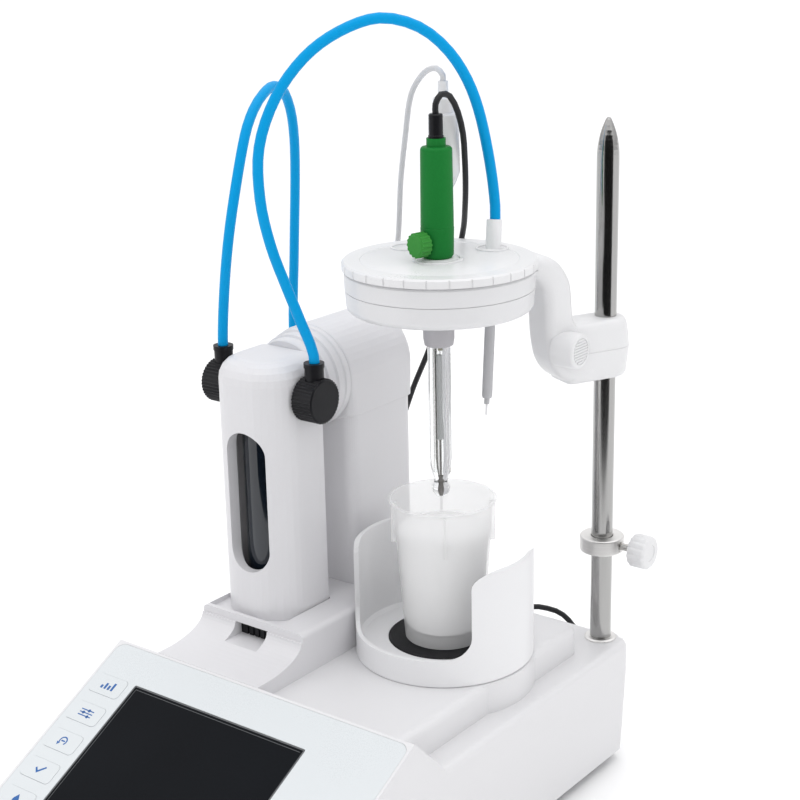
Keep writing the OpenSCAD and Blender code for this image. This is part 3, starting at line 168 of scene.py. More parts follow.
def lathe(name, profile, place, sides=64, closed=False):
    """Mesh turned from (radius, height) points in millimetres about Z of the matrix place."""
    bm = bmesh.new()
    rings = []
    for radius, height in profile:
        if radius < 1e-6:
            rings.append([bm.verts.new((0, 0, height * MM))] * sides)
            continue
        rings.append(
            [
                bm.verts.new(
                    (
                        radius * MM * math.cos(math.tau * i / sides),
                        radius * MM * math.sin(math.tau * i / sides),
                        height * MM,
                    )
                )
                for i in range(sides)
            ]
        )
    pairs = list(zip(rings, rings[1:]))
    if closed:
        pairs.append((rings[-1], rings[0]))
    for low, high in pairs:
        for i in range(sides):
            k = (i + 1) % sides
            corners = list(dict.fromkeys((low[i], low[k], high[k], high[i])))
            if len(corners) > 2:
                bm.faces.new(corners)
    bmesh.ops.recalc_face_normals(bm, faces=bm.faces)
    bm.transform(place)
    mesh = bpy.data.meshes.new(name)
    bm.to_mesh(mesh)
    bm.free()
    return mesh


def slab(name, outlines, place, z0, z1):
    """Flat outlines in millimetres, raised from z0 to z1 in the frame place."""
    bm = bmesh.new()
    for outline in outlines:
        low = [bm.verts.new((x * MM, y * MM, z0 * MM)) for x, y in outline]
        high = [bm.verts.new((x * MM, y * MM, z1 * MM)) for x, y in outline]
        bm.faces.new(high)
        bm.faces.new(low[::-1])
        for i in range(len(outline)):
            k = (i + 1) % len(outline)
            bm.faces.new((low[i], low[k], high[k], high[i]))
    bmesh.ops.recalc_face_normals(bm, faces=bm.faces)
    bm.transform(place)
    mesh = bpy.data.meshes.new(name)
    bm.to_mesh(mesh)
    bm.free()
    return mesh


def smooth_path(points, step, lowest):
    """Points every step metres or so along one smooth curve through the given points,
    never below the height lowest."""
    knots = [Vector(p) for p in points]
    count = len(knots)
    chord = [0.0]
    for a, b in zip(knots, knots[1:]):
        chord.append(chord[-1] + (b - a).length)

    def slope(i):
        a, b = max(i - 1, 0), min(i + 1, count - 1)
        return (knots[b] - knots[a]) / (chord[b] - chord[a])

    path = []
    for i in range(count - 1):
        span = chord[i + 1] - chord[i]
        parts = max(2, round(span / step))
        for j in range(parts):
            t = j / parts
            path.append(
                knots[i] * (2 * t**3 - 3 * t**2 + 1)
                + slope(i) * span * (t**3 - 2 * t**2 + t)
                + knots[i + 1] * (3 * t**2 - 2 * t**3)
                + slope(i + 1) * span * (t**3 - t**2)
            )
    path.append(knots[-1])
    for point in path:
        point.z = max(point.z, lowest)
    return path


def tube(name, path, radius, sides=16):
    """Round tube along a path, with closed ends and no twist."""
    bm = bmesh.new()
    last = len(path) - 1
    side = None
    rings = []
    for i, point in enumerate(path):
        along = (path[min(i + 1, last)] - path[max(i - 1, 0)]).normalized()
        side = along.orthogonal() if side is None else side
        side = (side - along * side.dot(along)).normalized()
        across = along.cross(side)
        rings.append(
            [
                bm.verts.new(
                    point
                    + side * radius * math.cos(math.tau * j / sides)
                    + across * radius * math.sin(math.tau * j / sides)
                )
                for j in range(sides)
            ]
        )
    for low, high in zip(rings, rings[1:]):
        for j in range(sides):
            k = (j + 1) % sides
            bm.faces.new((low[j], low[k], high[k], high[j]))
    bm.faces.new(rings[0][::-1])
    bm.faces.new(rings[-1])
    bmesh.ops.recalc_face_normals(bm, faces=bm.faces)
    mesh = bpy.data.meshes.new(name)
    bm.to_mesh(mesh)
    bm.free()
    return mesh


# ---------------------------------------------------------------- finishes
def surface(
    name,
    colour,
    roughness,
    grain=900.0,
    relief=0.12,
    tint=0.03,
    spread=0.06,
    stretch=(1, 1, 1),
    **constants,
):
    """Procedural finish: fine grain in relief and gloss, and a slow drift of the colour.
    constants are values for the shader's own sockets."""
    mat = bpy.data.materials.new(name)
    mat.use_nodes = True
    tree = mat.node_tree
    make = tree.nodes.new
    shader = tree.nodes["Principled BSDF"]
    coords = make("ShaderNodeTexCoord")
    mapping = make("ShaderNodeMapping")
    mapping.inputs["Scale"].default_value = stretch
    tree.links.new(coords.outputs["Object"], mapping.inputs["Vector"])

    fine = make("ShaderNodeTexNoise")
    fine.inputs["Scale"].default_value = grain
    fine.inputs["Detail"].default_value = 3.0
    broad = make("ShaderNodeTexNoise")
    broad.inputs["Scale"].default_value = 14.0
    broad.inputs["Detail"].default_value = 2.0
    for noise in (fine, broad):
        tree.links.new(mapping.outputs["Vector"], noise.inputs["Vector"])

    blend = make("ShaderNodeMix")
    blend.data_type = "FLOAT"
    blend.inputs["Factor"].default_value = 0.4
    tree.links.new(broad.outputs["Fac"], blend.inputs[2])
    tree.links.new(fine.outputs["Fac"], blend.inputs[3])
    ramp = make("ShaderNodeValToRGB")
    ramp.color_ramp.elements[0].position = 0.3
    ramp.color_ramp.elements[1].position = 0.7
    for stop, factor in zip(ramp.color_ramp.elements, (1 - tint, 1 + tint)):
        stop.color = [min(1.0, c * factor) for c in colour] + [1]
    tree.links.new(blend.outputs[0], ramp.inputs["Fac"])
    tree.links.new(ramp.outputs["Color"], shader.inputs["Base Color"])

    gloss = make("ShaderNodeMapRange")
    gloss.inputs["From Min"].default_value = 0.3
    gloss.inputs["From Max"].default_value = 0.7
    gloss.inputs["To Min"].default_value = max(0.02, roughness - spread)
    gloss.inputs["To Max"].default_value = roughness + spread
    tree.links.new(blend.outputs[0], gloss.inputs["Value"])
    tree.links.new(gloss.outputs["Result"], shader.inputs["Roughness"])

    bump = make("ShaderNodeBump")
    bump.inputs["Strength"].default_value = relief
    bump.inputs["Distance"].default_value = 0.0002
    tree.links.new(fine.outputs["Fac"], bump.inputs["Height"])
    tree.links.new(bump.outputs["Normal"], shader.inputs["Normal"])

    for socket, value in constants.items():
        shader.inputs[socket.replace("_", " ")].default_value = value
    return mat


FINISH = {
    "housing": surface("moulded_white", (0.72, 0.717, 0.728), 0.36, relief=0.10, tint=0.012),
    "pump": surface("pump_white", (0.70, 0.695, 0.712), 0.34, relief=0.08, tint=0.012),
    "guard": surface("guard_white", (0.78, 0.78, 0.79), 0.34, relief=0.08, tint=0.012),
    "holder": surface("holder_white", (0.75, 0.75, 0.757), 0.32, relief=0.07, tint=0.012),
    # darker copy of the holder's white: painted shade on the holder body below the lock ring
    "holder_painted_shade": surface("holder_white_painted_shade", (0.70, 0.70, 0.71), 0.34, relief=0.07, tint=0.012),
    "film": surface("front_film", (0.66, 0.69, 0.705), 0.3, grain=2200, relief=0.10, tint=0.012),
    "lcd": surface(
        "display_glass", (0.006, 0.007, 0.009), 0.12, relief=0.0, tint=0.2, spread=0.03,
        Specular_IOR_Level=0.05,
    ),
    "lcd_edge": surface("display_edge", (0.10, 0.105, 0.11), 0.35, tint=0.1),
    "mark_blue": surface("key_print", (0.010, 0.11, 0.36), 0.4, tint=0.06),
    "black": surface(
        "black_moulding", (0.010, 0.010, 0.012), 0.36, relief=0.16, tint=0.15,
        Specular_IOR_Level=0.18,
    ),
    "pad": surface(
        "black_pad", (0.010, 0.010, 0.012), 0.62, grain=2600, relief=0.5, tint=0.3,
        Specular_IOR_Level=0.3,
    ),
    "grey": surface("grey_moulding", (0.40, 0.41, 0.44), 0.45, relief=0.14, tint=0.04),
    "board": surface("solder_mask", (0.01, 0.12, 0.045), 0.3, grain=500, relief=0.3, tint=0.2),
    "rubber": surface("rubber", (0.03, 0.03, 0.032), 0.75, grain=1500, relief=0.3, tint=0.15),
    "rod": surface(
        "brushed_rod", (0.40, 0.397, 0.39), 0.16, grain=700, relief=0.12, tint=0.10,
        spread=0.06, stretch=(1.4, 1.4, 0.02), Metallic=1.0,
    ),
    "steel": surface(
        "turned_steel", (0.80, 0.79, 0.775), 0.46, grain=900, relief=0.16, tint=0.08,
        stretch=(0.1, 0.1, 2.0), Metallic=1.0,
    ),
    "nickel": surface("nickel", (0.55, 0.54, 0.52), 0.24, relief=0.05, tint=0.05, Metallic=1.0),
    "motor": surface("motor_paint", (0.05, 0.052, 0.056), 0.42, relief=0.15, tint=0.15),
    "ceramic": surface("ceramic", (0.66, 0.63, 0.58), 0.3, relief=0.05, tint=0.03),
    "burette_glass": surface(
        "dark_glass", (0.006, 0.010, 0.017), 0.08, relief=0.0, tint=0.3, spread=0.03,
        Coat_Weight=0.5, Coat_Roughness=0.03,
    ),
    "glass": surface(
        "clear_glass", (0.985, 0.99, 0.99), 0.03, relief=0.0, tint=0.002, spread=0.01,
        Transmission_Weight=1.0, IOR=1.3,
    ),
    "stem_glass": surface(
        "stem_glass", (0.95, 0.955, 0.955), 0.06, relief=0.0, tint=0.01, spread=0.02,
        Transmission_Weight=1.0, IOR=1.12,
    ),
    "frosted": surface(
        "frosted_plastic", (0.90, 0.90, 0.90), 0.42, grain=1400, relief=0.15, tint=0.01,
        IOR=1.3, Alpha=0.34,
    ),
    # the sample glows faintly white (Emission Strength 0.05): painted light
    "liquid": surface(
        "sample_liquid", (0.96, 0.96, 0.96), 0.3, relief=0.0, tint=0.01,
        IOR=1.33, Alpha=0.9, Emission_Color=(1, 1, 1, 1), Emission_Strength=0.05,
    ),
    "green": surface(
        "green_cap", (0.010, 0.175, 0.030), 0.42, relief=0.12, tint=0.07,
        Specular_IOR_Level=0.10,
    ),
    "green_knob": surface(
        "green_knob", (0.045, 0.27, 0.045), 0.4, relief=0.10, tint=0.07,
        Specular_IOR_Level=0.12,
    ),
    "tip": surface("tip_plastic", (0.46, 0.46, 0.475), 0.4, relief=0.08, tint=0.03),
    "sleeve": surface("sleeve_plastic", (0.80, 0.80, 0.81), 0.35, relief=0.06, tint=0.02),
    "ferrule": surface("ferrule_grey", (0.42, 0.41, 0.43), 0.5, relief=0.12, tint=0.04),
    "rod_grey": surface("element_grey", (0.80, 0.81, 0.81), 0.4, tint=0.05),
    "cream": surface("glass_fibre", (0.70, 0.66, 0.47), 0.6, grain=1600, relief=0.4, tint=0.12),
    "silver": surface("silver_wire", (0.20, 0.19, 0.18), 0.35, tint=0.1, Metallic=1.0),
    "hose": surface(
        "blue_hose", (0.0, 0.315, 0.68), 0.33, grain=700, relief=0.06, tint=0.05,
        Specular_IOR_Level=0.10,
    ),
    "cable_black": surface(
        "black_cable", (0.018, 0.018, 0.020), 0.42, relief=0.12, tint=0.15,
        Specular_IOR_Level=0.3,
    ),
    "cable_white": surface("white_cable", (0.60, 0.60, 0.61), 0.42, relief=0.12, tint=0.03),
}


NODE_FINISH = {
    "housing": "base_tray base_cover display_housing",
    "guard": "stirrer_guard",
    "pump": "pump_dock tower_shell valve_neck burette_shell",
    "holder": "holder_arm release_button lock_ring insert_plate probe_handle rod_bushing",
    # the holder body takes the darker white: painted shade
    "holder_painted_shade": "holder_body",
    "film": "display_film key_1 key_2 key_3 key_4 key_5",
    "lcd": "display_window",
    "black": "power_switch burette_latch hose_elbow_left hose_elbow_right"
    " electrode_relief cable_plugs",
    "pad": "stirrer_pad",
    "grey": "bottom_plate rear_panel display_board piston_carriage",
    "board": "main_board",
    "rubber": "rubber_feet",
    "rod": "support_rod",
    "steel": "stop_collar rod_socket leadscrew guide_rod stirrer_rotor collar_screw",
    "nickel": "rear_sockets probe_tube",
    "motor": "pump_motor valve_motor stirrer_motor",
    "ceramic": "valve_rotor valve_block piston",
    "burette_glass": "burette_glass",
    "glass": "electrode_glass",
    "frosted": "beaker",
    "green": "electrode_cap",
    "green_knob": "fill_screw",
    "tip": "dose_tip",
    "hose": "aspiration_hose dosing_hose",
    "cable_black": "electrode_cable",
    "cable_white": "probe_cable",
}


def dress_nodes():
    """Gives every CAD node its finish, and softens the moulded edges."""
    for finish, names in NODE_FINISH.items():
        for name in names.split():
            for slot in nodes[name].material_slots:
                slot.material = FINISH[finish]
    soft_edges = {
        0.7: "base_cover display_housing pump_dock burette_shell stirrer_guard holder_arm",
        0.35: "base_tray tower_shell valve_neck holder_body lock_ring insert_plate"
        " display_film electrode_cap fill_screw stop_collar probe_handle",
    }
    for width, names in soft_edges.items():
        for name in names.split():
            node = nodes[name]
            weld = node.modifiers.new("weld", "WELD")
            weld.merge_threshold = 1e-6
            edge = node.modifiers.new("soft_edge", "BEVEL")
            edge.width = width * MM
            edge.segments = 2
            edge.limit_method = "ANGLE"
            edge.angle_limit = math.radians(38)
            edge.harden_normals = False
            shading = node.modifiers.new("shading", "WEIGHTED_NORMAL")
            shading.keep_sharp = True


# ---------------------------------------------------------------- hoses and cables
ASPIRATION = [
    (-0.0768, 0.01815, 0.245), (-0.0768, 0.01815, 0.261), (-0.074, 0.0185, 0.288),
    (-0.0703, 0.019, 0.312), (-0.0672, 0.022, 0.336), (-0.0679, 0.034, 0.369),
    (-0.0703, 0.044, 0.381), (-0.0736, 0.056, 0.388), (-0.079, 0.071, 0.3905),
    (-0.084, 0.085, 0.385), (-0.088, 0.095, 0.37), (-0.094, 0.103, 0.345),
    (-0.101, 0.107, 0.29), (-0.106, 0.109, 0.238), (-0.106, 0.112, 0.16), (-0.106, 0.116, 0.07),
    (-0.106, 0.122, 0.028), (-0.107, 0.133, 0.008), (-0.107, 0.15, 0.003), (-0.1, 0.172, 0.003),
    (-0.084, 0.188, 0.003), (-0.06, 0.194, 0.003),
]
DOSING = [
    (-0.0122, 0.01815, 0.245), (-0.0122, 0.01815, 0.261), (-0.016, 0.014, 0.278),
    (-0.021, 0.009, 0.298), (-0.026, 0.004, 0.32), (-0.029, 0.001, 0.344),
    (-0.028, 0.001, 0.37), (-0.022, 0.008, 0.394), (-0.012, 0.019, 0.413), (0, 0.032, 0.425),
    (0.014, 0.047, 0.431), (0.027, 0.062, 0.426), (0.037, 0.074, 0.413), (0.044, 0.083, 0.394),
    (0.048, 0.0895, 0.368), (0.0503, 0.0945, 0.3332), (0.05125, 0.0915, 0.3145),
]
ELECTRODE_CABLE = [
    (0.0422, 0.0544, 0.385), (0.0422, 0.0544, 0.3895), (0.043, 0.058, 0.394),
    (0.044, 0.064, 0.3926), (0.045, 0.0695, 0.384), (0.0448, 0.074, 0.3727),
    (0.0428, 0.078, 0.3623), (0.039, 0.084, 0.3485), (0.033, 0.092, 0.333),
    (0.0215, 0.1055, 0.3135), (0.005, 0.114, 0.276), (-0.011, 0.117, 0.241),
    (-0.026, 0.1195, 0.212), (-0.037, 0.121, 0.182), (-0.04, 0.125, 0.145),
    (-0.032, 0.134, 0.108), (-0.012, 0.142, 0.086), (0.012, 0.146, 0.079),
    (0.028, 0.147, 0.0795), (0.042, 0.151, 0.0826), (0.054, 0.159, 0.0775),
    (0.061, 0.167, 0.06), (0.064, 0.172, 0.022), (0.066, 0.18, 0.005), (0.063, 0.194, 0.0017),
    (0.053, 0.204, 0.006), (0.047, 0.202, 0.018), (0.046, 0.195, 0.027), (0.046, 0.188, 0.03),
    (0.046, 0.1817, 0.03),
]
PROBE_CABLE = [
    (0.0324, 0.0744, 0.3985), (0.0324, 0.0744, 0.4012), (0.0265, 0.077, 0.4042),
    (0.015, 0.082, 0.401), (0.003, 0.0865, 0.389), (-0.006, 0.0925, 0.366),
    (-0.014, 0.098, 0.34), (-0.0214, 0.104, 0.306), (-0.031, 0.109, 0.278),
    (-0.042, 0.113, 0.24), (-0.053, 0.117, 0.195), (-0.058, 0.121, 0.15),
    (-0.057, 0.133, 0.104), (-0.054, 0.147, 0.081), (-0.052, 0.158, 0.0785),
    (-0.051, 0.166, 0.058), (-0.049, 0.174, 0.02), (-0.038, 0.186, 0.0017),
    (-0.016, 0.199, 0.0017), (0.008, 0.205, 0.004), (0.02, 0.203, 0.016), (0.024, 0.195, 0.027),
    (0.024, 0.188, 0.03), (0.024, 0.1817, 0.03),
]


def split_at(path, point):
    """Cuts a path in two at its point nearest to the given one, which both halves keep."""
    near = min(range(len(path)), key=lambda i: (path[i] - Vector(point)).length)
    return path[: near + 1], path[near:]


HOSE_D, BLACK_D, WHITE_D = 0.0056, 0.0032, 0.003


def held_cord(name, path, diameter, finish, cad_node, bodies, start, end, **facts):
    """One length of a hose or cable, laid as a fixed tube along its path in place of a CAD node."""
    piece = new_piece(name, tube(name, path, diameter / 2), FINISH[finish], smooth_angle=60)
    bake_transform(piece)
    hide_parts(cad_node)


def add_cords():
    """Two hoses and two cables. What leaves the electrode holder is made in two lengths."""
    path = smooth_path(ASPIRATION, 0.006, 0.0028)
    hose = new_piece("suction_hose", tube("suction_hose", path, HOSE_D / 2), FINISH["hose"], "root", 60)
    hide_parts("aspiration_hose")

    riser, fall = split_at(smooth_path(DOSING, 0.006, 0.0028), (0.0, 0.032, 0.425))
    held_cord(
        "dosing_hose_riser", riser, HOSE_D, "hose", "dosing_hose", ("root", "rod_bushing"),
        (-0.02, 0.015, 0.262), (-0.02, 0.015, 0.425),
        far_end="object", stiffness="stiff", lay="loose",
    )
    held_cord(
        "dosing_hose_fall", fall, HOSE_D, "hose", "dosing_hose", ("rod_bushing", "holder"),
        (0.0, 0.032, 0.4), (0.046, 0.086, 0.4),
        far_end="object", stiffness="stiff", lay="loose",
    )

    upper, lower = split_at(smooth_path(ELECTRODE_CABLE, 0.005, 0.0016), (-0.005, 0.116, 0.255))
    held_cord(
        "electrode_lead", upper, BLACK_D, "cable_black", "electrode_cable",
        ("rod_bushing", "holder"), (0.0, 0.11, 0.262), (0.0, 0.11, 0.36),
        far_end="object", stiffness="medium", lay="hanging",
    )
    held_cord(
        "electrode_lead_rear", lower, BLACK_D, "cable_black", "electrode_cable",
        ("root", "rod_bushing"), (0.0, 0.11, 0.10), (0.0, 0.11, 0.245),
        far_end="plug", stiffness="medium", lay="loose", with_pieces=[nodes["cable_plugs"]],
    )

    upper, lower = split_at(smooth_path(PROBE_CABLE, 0.005, 0.0015), (-0.0365, 0.111, 0.258))
    held_cord(
        "probe_lead", upper, WHITE_D, "cable_white", "probe_cable", ("rod_bushing", "holder"),
        (0.0, 0.11, 0.265), (0.0, 0.11, 0.37),
        far_end="object", stiffness="medium", lay="hanging",
    )
    held_cord(
        "probe_lead_rear", lower, WHITE_D, "cable_white", "probe_cable", ("root", "rod_bushing"),
        (0.0, 0.11, 0.10), (0.0, 0.11, 0.25),
        far_end="plug", stiffness="medium", lay="loose", with_pieces=[nodes["cable_plugs"]],
    )


# ---------------------------------------------------------------- electrode
def at_height(xy, z):
    """Matrix at a place in metres and a height in millimetres."""
    return Matrix.Translation((xy[0], xy[1], z * MM))


def bulb(radius, centre, start, end, parts=9):
    """Arc of a glass bulb, from angle start to angle end, as (radius, height) points."""
    return [
        (
            radius * math.cos(math.radians(start + (end - start) * i / parts)),
            centre + radius * math.sin(math.radians(start + (end - start) * i / parts)),
        )
        for i in range(parts + 1)
    ]


def add_electrode():
    """Hollow glass shaft with its bulb, and the elements inside it."""
    outer = [(0, 320), (5.0, 320), (5.0, 311.8), (6.0, 310.9), (6.0, 205), (5.4, 200), (3.6, 192.6)]
    outer += bulb(4.75, 187.9, 42, -90)
    inner = bulb(4.15, 187.9, -90, 44)
    inner += [(2.9, 193.4), (4.6, 200.6), (5.1, 205.4), (5.1, 300), (0, 300)]
    shaft = new_piece(
        "electrode_shaft",
        lathe("electrode_shaft", outer + inner, at_height(ELECTRODE, 0)),
        FINISH["glass"],
        "holder",
    )
    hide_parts("electrode_glass")
    parts = {
        "electrode_stem": ("stem_glass", [(1.9, 300), (2.15, 300), (2.15, 197), (1.9, 197)], True),
        "electrode_element": (
            "rod_grey",
            [(0, 262), (0.9, 261.6), (0.9, 216), (0.6, 215.4), (0, 215.4)],
            False,
        ),
        "electrode_wire": ("silver", [(0, 231), (0.35, 231), (0.35, 190), (0, 190)], False),
        "electrode_tip": (
            "silver",
            [
                (0, 196), (0.9, 195.4), (0.5, 193.6), (1.2, 191.8), (0.7, 190), (1.0, 187),
                (0.4, 184.8), (0, 184.4),
            ],
            False,
        ),
        "electrode_ferrule": (
            "ferrule",
            [(6.1, 287), (8.1, 287), (8.1, 270), (7.5, 266.6), (6.1, 265.9)],
            True,
        ),
    }
    for name, (finish, profile, closed) in parts.items():
        mesh = lathe(name, profile, at_height(ELECTRODE, 0), 32, closed)
        new_piece(name, mesh, FINISH[finish], "holder")
    fibres = ((0.7, -0.5, 0.8, 264), (-0.8, -0.7, 0.6, 272), (0.1, 0.9, 0.7, 268))
    for i, (x, y, r, z0) in enumerate(fibres):
        top = Vector((ELECTRODE[0] + x * MM, ELECTRODE[1] + y * MM, 0.299))
        foot = Vector((ELECTRODE[0] + x * 1.5 * MM, ELECTRODE[1] + y * 1.5 * MM, z0 * MM))
        path = [top.lerp(foot, t / 8) for t in range(9)]
        name = f"electrode_fibre_{i + 1}"
        fibre = new_piece(name, tube(name, path, r * MM, 8), FINISH["cream"], "holder")


def add_dosing_tip():
    """White sleeve in the holder, grey tube below it, and the fine nozzle."""
    place = (
        Matrix.Translation((0.0514, 0.091, 0.3115))
        @ Matrix.Rotation(math.radians(18), 4, "Z")
        @ Matrix.Rotation(math.radians(-9.5), 4, "X")
    )
    parts = {
        "dosing_sleeve": (
            "sleeve",
            [
                (2.85, 15), (3.9, 15), (4.1, 14.7), (4.15, -0.4), (6.4, -0.9), (6.4, -1.8),
                (2.85, -2),
            ],
            True,
        ),
        "dosing_tube": (
            "tip",
            [
                (0, 1), (2.75, 1), (2.75, -77.6), (2.35, -79), (1.45, -79.2), (1.4, -82.2),
                (0, -82.4),
            ],
            False,
        ),
        "dosing_nozzle": ("sleeve", [(0, -82.3), (0.6, -82.3), (0.5, -88.2), (0, -88.2)], False),
    }
    for name, (finish, profile, closed) in parts.items():
        piece = new_piece(name, lathe(name, profile, place, 40, closed), FINISH[finish], "holder")
        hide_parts("dose_tip")


# ---------------------------------------------------------------- beaker
BEAKER_FOOT = 101.6
BEAKER_LOW = (20.9, 9.0)
BEAKER_HIGH = (25.6, 76.0)
LIQUID_LEVEL = 62.0


def add_beaker():
    """Tapered frosted beaker with a turned lip, stacking lugs and its sample."""
    outer = [(0, 6.2), (18.6, 6.2), (19.4, 5.4), (19.7, 0.2), (20.6, 0), (21.4, 0.5), (21.7, 3)]
    outer += [(26.7, 76), (27.2, 78.2), (28.6, 78.8), (29.0, 79.4), (28.6, 80), (27.4, 80)]
    inner = [(26.4, 78.8), BEAKER_HIGH, BEAKER_LOW, (20.0, 7.6), (0, 7.4)]
    cup = new_piece(
        "beaker_cup",
        lathe("beaker_cup", outer + inner, at_height(STIRRER, BEAKER_FOOT), 96),
        FINISH["frosted"],
        "beaker",
        50,
    )
    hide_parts("beaker")
    widening = (BEAKER_HIGH[0] - BEAKER_LOW[0]) * (LIQUID_LEVEL - BEAKER_LOW[1])
    radius = BEAKER_LOW[0] + widening / (BEAKER_HIGH[1] - BEAKER_LOW[1]) - 0.05
    body = [
        (0, 7.45), (19.9, 7.65), (20.8, 9), (radius, LIQUID_LEVEL),
        (radius - 0.6, LIQUID_LEVEL - 0.4), (0, LIQUID_LEVEL - 0.5),
    ]
    sample = new_piece(
        "sample",
        lathe("sample", body, at_height(STIRRER, BEAKER_FOOT), 96),
        FINISH["liquid"],
        "beaker",
    )
    for i, angle in enumerate((128, 218, 308, 38)):
        turn = Matrix.Rotation(math.radians(angle), 4, "Z")
        place = at_height(STIRRER, BEAKER_FOOT) @ turn
        outline = [(24.6, -0.7), (27.6, -0.7), (28.0, 0), (27.6, 0.7), (24.6, 0.7)]
        name = f"beaker_lug_{i + 1}"
        mesh = slab(name, [outline], place, 55, 77.5)
        lug = new_piece(name, mesh, FINISH["frosted"], "beaker")


# ---------------------------------------------------------------- stand
def add_collar_knob():
    """Serrated white thumb knob and its steel shank on the stop collar."""
    place = axis_frame((*STAND_ROD, 0.1349), (1, 0, 0))
    pin = [(0, 6.1), (2.0, 6.1), (2.0, 20), (2.4, 20.4), (2.4, 22), (0, 22)]
    shank = new_piece(
        "collar_shank",
        lathe("collar_shank", pin, place, 32),
        FINISH["nickel"],
        "collar_screw",
    )
    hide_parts("collar_screw")
    bm = bmesh.new()
    teeth, per = 15, 8
    knob_radius, knob_start, tooth_depth = 9.5, 21, 0.55
    profile = [
        (0.42, -2.4), (0.66, -0.3), (0.94, 0.0), (1.0, 0.9), (1.0, 9.2), (0.93, 10.1),
        (0.80, 10.6), (0.5, 10.5), (0.46, 9.9),
    ]
    rings = []
    for share, height in profile:
        ring = []
        for i in range(teeth * per):
            angle = math.tau * i / (teeth * per)
            cut = tooth_depth * (1 - abs(math.sin(angle * teeth / 2))) if share > 0.9 else 0.0
            radius = knob_radius * share - cut
            x, y = radius * MM * math.cos(angle), radius * MM * math.sin(angle)
            ring.append(bm.verts.new((x, y, (knob_start + height) * MM)))
        rings.append(ring)
    for low, high in zip(rings, rings[1:]):
        for i in range(teeth * per):
            k = (i + 1) % (teeth * per)
            bm.faces.new((low[i], low[k], high[k], high[i]))
    bm.faces.new(rings[0][::-1])
    bm.faces.new(rings[-1])
    bmesh.ops.recalc_face_normals(bm, faces=bm.faces)
    bm.transform(place)
    mesh = bpy.data.meshes.new("collar_knob")
    bm.to_mesh(mesh)
    bm.free()
    knob = new_piece("collar_knob", mesh, FINISH["holder"], "collar_screw", 35)


# ---------------------------------------------------------------- holder
ARM_TURN = math.radians(64.49)
ARM = Matrix.Translation((*STIRRER, 0)) @ Matrix.Rotation(ARM_TURN, 4, "Z")


def holder_part(name, mesh, cad_node, body="holder", finish="holder", smooth_angle=40.0):
    """White moulded piece that stands for a node of the holder."""
    piece = new_piece(name, mesh, FINISH[finish], body, smooth_angle)
    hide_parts(cad_node)


def arc_points(x, y, radius, start, end, step):
    """Points of an arc round (x, y), from angle start up to angle end in degrees."""
    return [
        (x + radius * math.cos(math.radians(a)), y + radius * math.sin(math.radians(a)))
        for a in range(start, end, step)
    ]


def inset_outline(outline, depth):
    """Closed outline moved inwards by depth, with its points kept in order."""
    count = len(outline)
    moved = []
    for i, (x, y) in enumerate(outline):
        ax, ay = outline[i - 1]
        bx, by = outline[(i + 1) % count]
        before = Vector((x - ax, y - ay)).normalized()
        after = Vector((bx - x, by - y)).normalized()
        normal = Vector((-before.y - after.y, before.x + after.x)).normalized()
        widen = 1 / max(0.5, normal.dot(Vector((-before.y, before.x))))
        moved.append((x + normal.x * depth * widen, y + normal.y * depth * widen))
    return moved


def padded(name, outline, levels, place):
    """Solid from one outline in millimetres. levels are (height, inset) pairs along Z."""
    bm = bmesh.new()
    rings = [
        [bm.verts.new((x * MM, y * MM, height * MM)) for x, y in inset_outline(outline, depth)]
        for height, depth in levels
    ]
    for low, high in zip(rings, rings[1:]):
        for i in range(len(outline)):
            k = (i + 1) % len(outline)
            bm.faces.new((low[i], low[k], high[k], high[i]))
    bm.faces.new(rings[0][::-1])
    bm.faces.new(rings[-1])
    bmesh.ops.recalc_face_normals(bm, faces=bm.faces)
    bm.transform(place)
    mesh = bpy.data.meshes.new(name)
    bm.to_mesh(mesh)
    bm.free()
    return mesh


